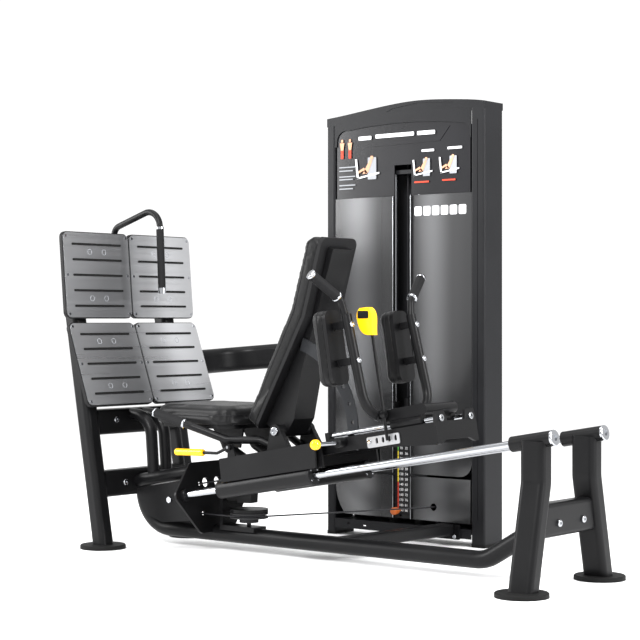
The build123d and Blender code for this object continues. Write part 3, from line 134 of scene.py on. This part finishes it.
LABEL = material("label_black", (0.015, 0.015, 0.016), rough=0.4, grain=900)


def banded(mat, axis, low, high, stops):
    """Paints light into the surface colour: bands of brightness across one axis of the model that stand in
    for sheen and highlights; stops are (place, brightness).
    """
    nodes = mat.node_tree.nodes
    links = mat.node_tree.links
    place = nodes.new("ShaderNodeTexCoord")
    axes = nodes.new("ShaderNodeSeparateXYZ")
    links.new(place.outputs["Object"], axes.inputs["Vector"])
    across = nodes.new("ShaderNodeMapRange")
    across.inputs["From Min"].default_value = low
    across.inputs["From Max"].default_value = high
    links.new(axes.outputs[axis], across.inputs["Value"])
    bands = nodes.new("ShaderNodeValToRGB")
    bands.color_ramp.interpolation = "EASE"
    for element, (place_at, level) in zip(bands.color_ramp.elements, (stops[0], stops[-1])):
        element.color = (level, level * 1.01, level * 1.04, 1.0)
    for place_at, level in stops[1:-1]:
        element = bands.color_ramp.elements.new(place_at)
        element.color = (level, level * 1.01, level * 1.04, 1.0)
    links.new(across.outputs["Result"], bands.inputs["Fac"])
    links.new(bands.outputs["Color"], nodes["Principled BSDF"].inputs["Base Color"])


# painted sheen: vertical bands of painted highlight down the curved shroud sheets, and a painted highlight on
# the foot plates that brightens them towards the tower
banded(SMOKED, "X", -0.448, 0.201,
       ((0.0, 0.03), (0.18, 0.11), (0.36, 0.035), (0.55, 0.025), (0.72, 0.13), (0.88, 0.05), (1.0, 0.04)))
banded(STEEL, "Y", -0.557, 0.133, ((0.0, 0.3), (0.42, 0.24), (0.6, 0.5), (0.78, 0.74), (1.0, 0.5)))

COATS = {
    BLACK_COAT: [
        "legs", "cross_members", "main_beam", "base_tube", "rail_bracket", "pulley_bracket", "foot_uprights",
        "link_arm", "carriage_deck", "bearing_tubes", "carriage_rod_frame", "seat_frame", "side_handles",
        "back_spine", "shoulder_yoke", "grab_handle", "lock_rod", "release_lever", "shoulder_pad_backs",
    ],
    DARK_COAT: ["tower_columns", "tower_cap", "tower_base", "top_bridge"],
    PANEL_BLACK: ["tower_back_panel"],
    CHROME: [
        "guide_rails", "chrome_end_caps", "frame_bolts", "carriage_bolts", "upper_rods", "stack_guide_rods",
        "pop_pin",
    ],
    STEEL: ["foot_plates"],
    SMOKED: ["tower_shrouds"],
    LIGHT_GREY: ["recline_quadrant"],
    RACK_GREY: ["rack_plate"],
    RUBBER: ["rubber_buffers", "floor_pads", "grip_strips"],
    GRIP_RUBBER: ["grab_grip", "handle_grips", "horn_grips"],
    VINYL: ["back_cushion", "seat_pad", "shoulder_pads"],
    PLASTIC: ["foot_plate_backings", "back_shell", "bearing_rings"],
    PLACARD: ["header_placard"],
    YELLOW: ["lock_head", "release_grip"],
    ORANGE: ["selector_pin"],
    IRON: ["weight_plates", "top_plate", "resting_plate"],
    NYLON: ["return_pulley", "floor_pulley", "base_pulley", "top_pulley"],
    CABLE: ["press_cable", "stack_cable"],
}


def dress(obj, mat):
    obj.data.materials.clear()
    obj.data.materials.append(mat)


for mat, names in COATS.items():
    for name in names:
        dress(NODES[name], mat)

# ---- shape helpers -------------------------------------------------------------------------------


def mesh_object(name, verts, faces, mat, smooth=False):
    mesh = bpy.data.meshes.new(name)
    mesh.from_pydata([tuple(v) for v in verts], [], faces)
    mesh.update()
    obj = bpy.data.objects.new(name, mesh)
    bpy.context.scene.collection.objects.link(obj)
    dress(obj, mat)
    if smooth:
        for poly in mesh.polygons:
            poly.use_smooth = True
    return obj


def tube(name, points, radius, mat, sides=16, closed=False):
    """Smooth tube through points, as a mesh."""
    verts = []
    faces = []
    count = len(points)
    previous = None
    for i, point in enumerate(points):
        before = points[i - 1] if (i > 0 or closed) else points[i]
        after = points[(i + 1) % count] if (i < count - 1 or closed) else points[i]
        along = (Vector(after) - Vector(before)).normalized()
        if previous is None:
            guide = Vector((0, 0, 1)) if abs(along.z) < 0.9 else Vector((0, 1, 0))
            previous = along.cross(guide).normalized()
        first = (previous - along * previous.dot(along)).normalized()
        previous = first
        second = along.cross(first)
        for k in range(sides):
            turn = 2 * math.pi * k / sides
            verts.append(Vector(point) + (first * math.cos(turn) + second * math.sin(turn)) * radius)
    for i in range(count if closed else count - 1):
        for k in range(sides):
            a = i * sides + k
            b = i * sides + (k + 1) % sides
            c = ((i + 1) % count) * sides + (k + 1) % sides
            d = ((i + 1) % count) * sides + k
            faces.append((a, b, c, d))
    if not closed:
        faces.append(tuple(reversed(range(sides))))
        faces.append(tuple((count - 1) * sides + k for k in range(sides)))
    return mesh_object(name, verts, faces, mat, smooth=True)


def flat_shape(name, outline, origin, x_dir, y_dir, mat, thick=0.0006):
    """Thin plate with the given outline, on the plane through origin."""
    x_dir = Vector(x_dir).normalized()
    y_dir = Vector(y_dir).normalized()
    up = x_dir.cross(y_dir).normalized()
    low = [Vector(origin) + x_dir * x + y_dir * y for x, y in outline]
    high = [v + up * thick for v in low]
    n = len(outline)
    faces = [tuple(reversed(range(n))), tuple(range(n, 2 * n))]
    for i in range(n):
        faces.append((i, (i + 1) % n, n + (i + 1) % n, n + i))
    return mesh_object(name, low + high, faces, mat)


def rounded(width, height, corner, steps=6):
    points = []
    for cx, cy, start in ((1, 1, 0), (-1, 1, 90), (-1, -1, 180), (1, -1, 270)):
        for k in range(steps + 1):
            turn = math.radians(start + 90 * k / steps)
            points.append((cx * (width / 2 - corner) + corner * math.cos(turn),
                           cy * (height / 2 - corner) + corner * math.sin(turn)))
    return points


def joined(name, objects):
    """Several meshes as one piece."""
    bpy.ops.object.select_all(action="DESELECT")
    for obj in objects:
        obj.select_set(True)
    bpy.context.view_layer.objects.active = objects[0]
    bpy.ops.object.join()
    objects[0].name = name
    return objects[0]


# ---- stuffed pads: foam under vinyl, swollen by a cloth simulation -------------------------------


def loose_solid(node, name, which=None):
    """Copy of a CAD pad, or of one of its separate solids, ready to be stuffed."""
    source = NODES[node]
    bm = bmesh.new()
    bm.from_mesh(source.data)
    bmesh.ops.remove_doubles(bm, verts=bm.verts, dist=1e-6)
    if which is not None:
        gone = [v for v in bm.verts if not which(v.co)]
        bmesh.ops.delete(bm, geom=gone, context="VERTS")
    mesh = bpy.data.meshes.new(name)
    bm.to_mesh(mesh)
    bm.free()
    obj = bpy.data.objects.new(name, mesh)
    bpy.context.scene.collection.objects.link(obj)
    dress(obj, VINYL)
    return obj


def apply_modifiers(obj):
    bpy.context.view_layer.update()
    done = bpy.data.meshes.new_from_object(obj.evaluated_get(bpy.context.evaluated_depsgraph_get()))
    obj.modifiers.clear()
    obj.data = done


def stuff(obj, back_point, back_normal, swell=0.007, voxel=0.006):
    """Swells the pad by internal pressure; the face on its board stays put."""
    remesh = obj.modifiers.new("remesh", "REMESH")
    remesh.mode = "VOXEL"
    remesh.voxel_size = voxel
    apply_modifiers(obj)
    soften = obj.modifiers.new("soften", "SMOOTH")
    soften.iterations = 5
    soften.factor = 0.5
    apply_modifiers(obj)
    held = obj.vertex_groups.new(name="held")
    back_normal = Vector(back_normal).normalized()
    start = [v.co.copy() for v in obj.data.vertices]
    for i, co in enumerate(start):
        depth = (co - Vector(back_point)).dot(back_normal)
        if depth < 0.012:
            held.add([i], 1.0, "REPLACE")
    cloth = obj.modifiers.new("cloth", "CLOTH")
    cloth.settings.quality = 5
    cloth.settings.mass = 0.25
    cloth.settings.tension_stiffness = 12
    cloth.settings.compression_stiffness = 12
    cloth.settings.shear_stiffness = 8
    cloth.settings.bending_stiffness = 0.6
    cloth.settings.use_pressure = True
    cloth.settings.uniform_pressure_force = 4
    cloth.settings.vertex_group_mass = "held"
    cloth.settings.effector_weights.gravity = 0
    cloth.collision_settings.use_collision = False
    cloth.point_cache.frame_start = 1
    cloth.point_cache.frame_end = 20
    for number in range(1, 21):
        bpy.context.scene.frame_set(number)
    apply_modifiers(obj)
    bpy.context.scene.frame_set(1)
    for v, co in zip(obj.data.vertices, start):
        move = v.co - co
        if move.length > swell:
            v.co = co + move.normalized() * swell
    for poly in obj.data.polygons:
        poly.use_smooth = True
    obj.data.update()
    divide = obj.modifiers.new("subdivide", "SUBSURF")
    divide.levels = 1
    divide.render_levels = 1


def resample(points, step=0.01, closed=True):
    out = []
    ring = points + ([points[0]] if closed else [])
    for a, b in zip(ring, ring[1:]):
        a = Vector(a)
        b = Vector(b)
        parts = max(1, int((b - a).length / step))
        for k in range(parts):
            out.append(a + (b - a) * k / parts)
    if not closed:
        out.append(Vector(points[-1]))
    return out


def seam_round(obj, name, outline, origin, x_dir, y_dir, radius=0.0016):
    """Piping along an outline, laid on the pad's swollen surface."""
    x_dir = Vector(x_dir).normalized()
    y_dir = Vector(y_dir).normalized()
    tree_mesh = obj.evaluated_get(bpy.context.evaluated_depsgraph_get())
    points = []
    for point in resample([Vector((x, y, 0)) for x, y in outline], 0.008):
        spot = Vector(origin) + x_dir * point.x + y_dir * point.y
        found, near, normal, index = tree_mesh.closest_point_on_mesh(spot)
        points.append(near if found else spot)
    return tube(name, points, radius, SEAM, sides=8, closed=True)


# seat
seat = loose_solid("seat_pad", "seat_cushion")
stuff(seat, (0, 0, 0.474), (0, 0, 1), swell=0.006, voxel=0.0065)
bpy.context.view_layer.update()
seat_outline = rounded(0.392, 0.374, 0.065, 8)
seat_seam = seam_round(seat, "seat_seam", seat_outline, (-0.474, MID_Y, 0.51), (1, 0, 0), (0, 1, 0))
for piece in (seat, seat_seam):
    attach(piece, "carriage")
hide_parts("seat_pad")

# backrest
TILT = math.radians(56.7)
HINGE = Vector((-0.1357, MID_Y, 0.4565))
up_back = Vector((math.cos(TILT), 0, math.sin(TILT)))
front_back = Vector((-math.sin(TILT), 0, math.cos(TILT)))


def on_back(s, n, y=0.0):
    return HINGE + up_back * s + front_back * n + Vector((0, y, 0))


back = loose_solid("back_cushion", "back_cushion_soft")
stuff(back, on_back(0, 0.088), front_back, swell=0.006, voxel=0.0065)
bpy.context.view_layer.update()
back_seams = []
for side in (-1, 1):
    path = [on_back(-0.035, 0.122, side * 0.101), on_back(0.402, 0.163, side * 0.101),
            on_back(0.64, 0.236, side * 0.101), on_back(0.668, 0.226, side * 0.099)]
    tree_mesh = back.evaluated_get(bpy.context.evaluated_depsgraph_get())
    points = []
    for spot in resample(path, 0.01, closed=False):
        found, near, normal, index = tree_mesh.closest_point_on_mesh(spot)
        points.append(near)
    back_seams.append(tube("back_seam_" + ("near" if side < 0 else "far"), points, 0.0016, SEAM, sides=8))
for piece in [back] + back_seams:
    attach(piece, "backrest")
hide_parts("back_cushion")

# shoulder pads
lean = Vector((-0.0345, 0, 0.214)).normalized()
pad_front = Vector((-lean.z, 0, lean.x))
shoulder_pieces = []
for side, label in ((-1, "near"), (1, "far")):
    pad = loose_solid("shoulder_pads", "shoulder_pad_" + label,
                      which=lambda co, side=side: (co.y - MID_Y) * side > 0)
    centre = Vector((0.198, MID_Y + side * 0.1907, 0.755))
    stuff(pad, centre - pad_front * 0.006, pad_front, swell=0.006, voxel=0.005)
    bpy.context.view_layer.update()
    seam = seam_round(pad, "shoulder_seam_" + label, rounded(0.104, 0.268, 0.036, 8),
                      centre + pad_front * 0.018, (0, 1, 0), lean, radius=0.0014)
    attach(pad, "shoulder_carriage")
    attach(seam, "shoulder_carriage")
    shoulder_pieces.append(pad)
for pad in shoulder_pieces:
    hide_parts("shoulder_pads")

# ---- cables --------------------------------------------------------------------------------------
# runs repeated from the model, in metres
CABLE_R = 0.003
FLOOR_RUN_Z = 0.138
RETURN_R = 0.042
FLOOR_R = 0.064
BASE_R = 0.032
TOP_Z = 1.545
CABLE_Y = MID_Y - FLOOR_R
anchor = Vector((0.977 - 1.299 * math.cos(SLOPE) - 0.036 * math.sin(SLOPE), CABLE_Y,
                 0.475 - 1.299 * math.sin(SLOPE) + 0.036 * math.cos(SLOPE)))
pulley_x = -0.66148
pulley_z = 0.18
leave = Vector((pulley_x - RETURN_R * math.sin(SLOPE), CABLE_Y, pulley_z + RETURN_R * math.cos(SLOPE)))


def straight(start, end, step=0.02):
    return resample([start, end], step, closed=False)


sloping = tube("press_cable_sloping_run", straight(leave, anchor, 0.006), CABLE_R, CABLE, sides=12)
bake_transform(sloping)


def arc(centre, first, second, radius, start, end, steps=24):
    points = []
    for k in range(steps + 1):
        turn = math.radians(start + (end - start) * k / steps)
        spoke = Vector(first) * math.cos(turn) + Vector(second) * math.sin(turn)
        points.append(Vector(centre) + spoke * radius)
    return points


floor_centre = Vector((-0.342, MID_Y, FLOOR_RUN_Z))
tower_spot = Vector((0.06, 0.505, FLOOR_RUN_Z))
reach = tower_spot - floor_centre
heading = math.atan2(reach.y, reach.x) + math.asin(FLOOR_R / math.hypot(reach.x, reach.y))
out = Vector((math.cos(heading), math.sin(heading), 0))
route = arc((pulley_x, CABLE_Y, pulley_z), (1, 0, 0), (0, 0, 1), RETURN_R, 100, 270)
under_return = Vector((pulley_x, CABLE_Y, FLOOR_RUN_Z))
beside_floor = Vector((floor_centre.x, CABLE_Y, FLOOR_RUN_Z))
route += straight(under_return, beside_floor)[1:]
route += arc(floor_centre, (1, 0, 0), (0, 1, 0), FLOOR_R, -90, math.degrees(heading) - 90)[1:]
base_centre = Vector((0.06, 0.505, 0)) - out * BASE_R + Vector((0, 0, FLOOR_RUN_Z + BASE_R))
route += straight(route[-1], base_centre - Vector((0, 0, BASE_R)))[1:]
route += arc(base_centre, tuple(out), (0, 0, 1), BASE_R, -90, 0)[1:]
top_near = Vector((0.06, 0.505, TOP_Z))
top_far = Vector((-0.133, 0.487, TOP_Z))
route += straight(route[-1], top_near)[1:]
across = (top_near - top_far).normalized()
top_centre = (top_near + top_far) / 2
top_r = (top_near - top_far).length / 2
route += arc(top_centre, tuple(across), (0, 0, 1), top_r, 0, 180, 40)[1:]
route += [top_far - Vector((0, 0, 0.02))]
fixed_run = tube("press_cable_fixed_run", route, CABLE_R, CABLE, sides=12)
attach(fixed_run, "frame")
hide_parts("press_cable")
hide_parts("press_cable")
stack_low = Vector((-0.133, 0.487, 0.5435))
stack_high = Vector((-0.133, 0.487, 1.525))
lift_cable = tube("stack_lift_cable", straight(stack_low, stack_high, 0.01), CABLE_R, CABLE, sides=12)
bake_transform(lift_cable)
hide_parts("stack_cable")

# ---- weight stack labels: two columns of numbers beside a coloured bar ---------------------------
label_parts = []
FACE_STACK = 0.4378


def number_piece(body, x, z, size):
    text = bpy.data.curves.new("weight_number", "FONT")
    text.body = body
    text.size = size
    text.extrude = 0.0002
    text.align_x = "CENTER"
    text.align_y = "CENTER"
    holder = bpy.data.objects.new("weight_number", text)
    bpy.context.scene.collection.objects.link(holder)
    holder.location = (x, FACE_STACK - 0.0011, z)
    holder.rotation_euler = (math.pi / 2, 0, 0)
    bpy.context.view_layer.update()
    digits = bpy.data.meshes.new_from_object(holder.evaluated_get(bpy.context.evaluated_depsgraph_get()))
    digits.transform(holder.matrix_world)
    bpy.data.objects.remove(holder)
    piece = bpy.data.objects.new("digits", digits)
    bpy.context.scene.collection.objects.link(piece)
    dress(piece, PRINT_WHITE)
    return piece


for index in range(1, 20):
    z = 0.085 + 0.02 * (index + 0.5)
    colour = GREEN if index > 12 else (LABEL_YELLOW if index > 6 else RED)
    label_parts.append(flat_shape("row", rounded(0.056, 0.0185, 0.002, 3), (-0.119, FACE_STACK, z), (1, 0, 0),
                                  (0, 0, 1), LABEL, thick=0.0007))
    label_parts.append(flat_shape("mark", rounded(0.005, 0.0185, 0.001, 2), (-0.1435, FACE_STACK - 0.0008, z),
                                  (1, 0, 0), (0, 0, 1), colour, thick=0.0004))
    label_parts.append(number_piece(str((20 - index) * 10), -0.129, z, 0.0135))
    label_parts.append(number_piece(str(round((20 - index) * 4.5)), -0.1045, z, 0.0135))
labels = joined("weight_labels", label_parts)
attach(labels, "weight_stack")

# ---- header placard print: bars, little machine pictures and figures, no words -------------------
print_parts = []
FACE_Y = 0.4278


def on_front(name, outline, x, z, mat, thick=0.0005, lift=0.0):
    return flat_shape(name, outline, (x, FACE_Y - lift, z), (1, 0, 0), (0, 0, 1), mat, thick)


def bars(rows, mat, lift=0.0, corner=0.001):
    """Bars between two x stations: (left, right, middle height, thickness)."""
    for left, right, z, tall in rows:
        print_parts.append(on_front("bar", rounded(right - left, tall, corner, 2), (left + right) / 2, z, mat,
                                    lift=lift))


# title on the raised plaque, as three blocks
bars(((-0.328, -0.265, 1.562, 0.015), (-0.245, -0.06, 1.565, 0.015), (-0.045, 0.038, 1.565, 0.015)),
     PRINT_WHITE, lift=0.0026, corner=0.003)
# small headings and lines of instruction
bars(((-0.026, 0.032, 1.497, 0.009), (0.094, 0.16, 1.5, 0.009)), PRINT_WHITE, corner=0.002)
bars([(-0.426, -0.346 - 0.012 * (row % 2), z, 0.0045) for row, z in
      enumerate((1.453, 1.439, 1.416, 1.405, 1.382, 1.368))], PRINT_GREY)
bars(((-0.06, 0.008, 1.378, 0.006), (0.07, 0.13, 1.38, 0.006)), RED)
# pictures of the machine in use: outline, shift across, rise, material, layer
THIGH = [
    (-0.044, -0.008), (-0.02, 0.004), (-0.004, -0.014), (-0.01, -0.018), (-0.021, -0.006), (-0.044, -0.016),
]
PICTURE = (
    (rounded(0.036, 0.075, 0.003, 2), 0.014, 0.0, PRINT_GREY, 0.0),
    ([(-0.05, -0.035), (0.045, -0.02), (0.045, -0.014), (-0.05, -0.029)], 0.0, 0.0, PRINT_WHITE, 0.0006),
    ([(-0.05, -0.034), (-0.042, -0.034), (-0.05, 0.034), (-0.058, 0.034)], 0.0, 0.0, PRINT_WHITE, 0.0006),
    ([(-0.026, -0.018), (-0.002, -0.014), (0.016, 0.026), (0.006, 0.03)], 0.0, 0.0, PRINT_SKIN, 0.0012),
    (THIGH, 0.0, 0.0, PRINT_SKIN, 0.0012),
    (rounded(0.013, 0.013, 0.006, 5), 0.014, 0.036, PRINT_SKIN, 0.0018),
)
for cx, cz, big in ((-0.28, 1.443, 1.15), (-0.016, 1.433, 0.9), (0.107, 1.437, 0.9)):
    for outline, shift, rise, mat, lift in PICTURE:
        print_parts.append(on_front("picture", [(x * big, z * big) for x, z in outline], cx + shift * big,
                                    cz + rise * big, mat, lift=lift))
# two standing figures that show the muscles
for cx in (-0.412, -0.373):
    print_parts.append(on_front("figure_head", rounded(0.01, 0.012, 0.0048, 5), cx, 1.558, PRINT_SKIN))
    torso = [(-0.011, 0.026), (-0.006, -0.004), (0.006, -0.004), (0.011, 0.026)]
    print_parts.append(on_front("figure_body", torso, cx, 1.524, PRINT_SKIN))
    for leg in (-0.0035, 0.0035):
        print_parts.append(on_front("figure_leg", rounded(0.0055, 0.034, 0.002, 2), cx + leg, 1.504, RED))
# row of plain blocks along the top of the shroud
for k in range(6):
    left = -0.062 + 0.041 * k
    print_parts.append(on_front("badge_block", rounded(0.033, 0.036, 0.006, 4), left + 0.0165, 1.267,
                                PRINT_WHITE, lift=-0.004))
# bright folded edges of the shroud sheets
for z_low, z_high in ((0.085, 0.25), (0.259, 1.329)):
    for x in (-0.1595, -0.0755):
        edge = rounded(0.0024, z_high - z_low - 0.002, 0.001, 2)
        print_parts.append(flat_shape("slot_edge", edge, (x, 0.4229, (z_low + z_high) / 2), (1, 0, 0),
                                      (0, 0, 1), FOLDED, 0.0005))
prints = joined("placard_print", print_parts)
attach(prints, "frame")

# ---- foot plate marks: four rings on each plate --------------------------------------------------
mark_parts = []
for bottom, top in (((-0.937, 0.860), (-0.964, 1.179)), ((-0.820, 0.537), (-0.929, 0.838))):
    run = Vector((top[0] - bottom[0], 0, top[1] - bottom[1]))
    middle = Vector(((top[0] + bottom[0]) / 2, MID_Y, (top[1] + bottom[1]) / 2))
    normal = Vector((run.z, 0, -run.x)).normalized()
    for column in (-0.2095, -0.1355, 0.1355, 0.2095):
        for level in (-0.275, 0.275):
            spot = middle + Vector((0, column, 0)) + run * level + normal * 0.0003
            ring = [spot + (Vector((0, 1, 0)) * math.cos(a) + run.normalized() * math.sin(a)) * 0.01
                    for a in [2 * math.pi * k / 32 for k in range(32)]]
            mark_parts.append(tube("round_mark", ring, 0.0009, PRINT_GREY, sides=8, closed=True))
marks = joined("foot_plate_marks", mark_parts)
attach(marks, "frame")

# ---- shoulder and lever fittings -----------------------------------------------------------------


def button(name, spot, axis, radius, mat, height=0.006):
    """Round-headed bolt on a surface."""
    axis = Vector(axis).normalized()
    side = axis.cross(Vector((0, 0, 1)) if abs(axis.z) < 0.9 else Vector((1, 0, 0))).normalized()
    other = axis.cross(side)
    verts = []
    faces = []
    rings = ((1.0, 0.0), (1.0, 0.45), (0.85, 0.8), (0.55, 0.98), (0.32, 1.0), (0.28, 0.6))
    for scale, rise in rings:
        for k in range(24):
            turn = 2 * math.pi * k / 24
            verts.append(Vector(spot) + (side * math.cos(turn) + other * math.sin(turn)) * radius * scale
                         + axis * height * rise)
    for r in range(len(rings) - 1):
        for k in range(24):
            faces.append((r * 24 + k, r * 24 + (k + 1) % 24, (r + 1) * 24 + (k + 1) % 24, (r + 1) * 24 + k))
    last = (len(rings) - 1) * 24
    faces.append(tuple(last + k for k in range(24)))
    faces.append(tuple(reversed(range(24))))
    return mesh_object(name, verts, faces, mat, smooth=True)


yoke_bits = []
for side in (-1, 1):
    y = MID_Y + side * 0.1865
    for z, x in ((0.835, 0.2607 + 0.0165), (0.716, 0.2911 + 0.0165)):
        yoke_bits.append(button("pad_bolt", (x, y, z), (1, 0, 0.25), 0.0105, CHROME))
    low = Vector((0.241, MID_Y + side * 0.2, 0.917))
    high = Vector((0.204, MID_Y + side * 0.312, 1.0))
    along = (high - low).normalized()
    yoke_bits.append(tube("horn_ring", [low + along * 0.014, low + along * 0.021], 0.0188, CHROME, sides=32))
    yoke_bits.append(tube("horn_cap", [high - along * 0.006, high + along * 0.004], 0.0175, CHROME, sides=32))
for spot in ((0.34, MID_Y - 0.05, 0.5425), (0.34, MID_Y + 0.05, 0.5425)):
    yoke_bits.append(button("yoke_bolt", spot, (0, 0, 1), 0.009, CHROME))
yoke_fittings = joined("shoulder_fittings", yoke_bits)
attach(yoke_fittings, "shoulder_carriage")

handle_bits = []
for side in (-1, 1):
    low = Vector((-0.606, MID_Y - side * 0.2155, 0.512))
    high = Vector((-0.438, MID_Y - side * 0.207, 0.469))
    along = (high - low).normalized()
    rings = (("handle_ring", 0.14, 0.147, 0.0178), ("handle_cap", -0.004, 0.004, 0.017))
    for name, start, end, radius in rings:
        handle_bits.append(tube(name, [low + along * start, low + along * end], radius, CHROME, sides=32))
handle_fittings = joined("handle_fittings", handle_bits)
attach(handle_fittings, "carriage")

inset = flat_shape("lock_head_inset", rounded(0.046, 0.026, 0.005, 4), (0.294, -0.3591, 0.868),
                   (1, 0, 0), (0, 0, 1), PLASTIC, thick=0.0006)
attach(inset, "lock_lever")

# knob of the pop pin: rings of (radius, depth) turned about the pin
pin_x = 0.977 - 0.784 * math.cos(SLOPE) - 0.096 * math.sin(SLOPE)
pin_z = 0.475 - 0.784 * math.sin(SLOPE) + 0.096 * math.cos(SLOPE)
profile = [
    (0.002, -0.005), (0.0145, -0.005), (0.0173, 0.0), (0.0173, 0.012), (0.0145, 0.0178), (0.004, 0.0188),
]
verts = []
faces = []
for radius, depth in profile:
    for k in range(40):
        turn = 2 * math.pi * k / 40
        rippled = radius * (1.0 + (0.02 * math.cos(turn * 10) if radius > 0.016 else 0.0))
        verts.append((pin_x + rippled * math.cos(turn), -0.475 - depth, pin_z + rippled * math.sin(turn)))
for r in range(len(profile) - 1):
    for k in range(40):
        faces.append((r * 40 + k, (r + 1) * 40 + k, (r + 1) * 40 + (k + 1) % 40, r * 40 + (k + 1) % 40))
faces.append(tuple(range(40)))
faces.append(tuple(reversed([(len(profile) - 1) * 40 + k for k in range(40)])))
knob = mesh_object("pop_pin_knob", verts, faces, YELLOW, smooth=True)
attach(knob, "pop_pin")

# ---- floor, light and camera ---------------------------------------------------------------------
FLOOR = material("pale_floor", (0.94, 0.94, 0.945), rough=0.55, grain=60, grain_depth=0.0001,
                 spread=0.01, blotch=1.5)
floor = mesh_object("floor", [(-14, -14, -0.0005), (14, -14, -0.0005), (14, 14, -0.0005), (-14, 14, -0.0005)],
                    [(0, 1, 2, 3)], FLOOR)

world = bpy.data.worlds.new("studio")
bpy.context.scene.world = world
world.use_nodes = True
world.node_tree.nodes["Background"].inputs["Color"].default_value = (1.0, 1.0, 1.0, 1.0)
world.node_tree.nodes["Background"].inputs["Strength"].default_value = 1.08


def area_light(name, spot, aim, size, power, size_y=None):
    light = bpy.data.lights.new(name, "AREA")
    light.energy = power
    light.size = size
    if size_y:
        light.shape = "RECTANGLE"
        light.size_y = size_y
    holder = bpy.data.objects.new(name, light)
    bpy.context.scene.collection.objects.link(holder)
    holder.location = spot
    holder.rotation_euler = (Vector(aim) - Vector(spot)).to_track_quat("-Z", "Y").to_euler()
    holder.visible_camera = False


area_light("key", (1.0, -4.5, 3.6), (0, 0, 0.6), 1.8, 330)
area_light("side", (4.2, 0.5, 2.2), (0.2, 0, 0.8), 1.2, 230, 2.6)
area_light("top", (-0.6, -0.6, 4.2), (-0.2, 0, 0.5), 3.0, 90)
area_light("left", (-3.6, -2.6, 2.0), (-0.6, 0, 0.8), 1.2, 150, 2.4)

camera_data = bpy.data.cameras.new("camera")
camera_data.lens = 97.93
camera_data.sensor_width = 36.0
camera_data.dof.use_dof = False
camera = bpy.data.objects.new("camera", camera_data)
bpy.context.scene.collection.objects.link(camera)
camera.location = (3.8457, -4.9983, 0.85)
camera.rotation_euler = (math.radians(90), 0, math.radians(38.85))
bpy.context.scene.camera = camera
bpy.context.scene.view_settings.view_transform = "Standard"
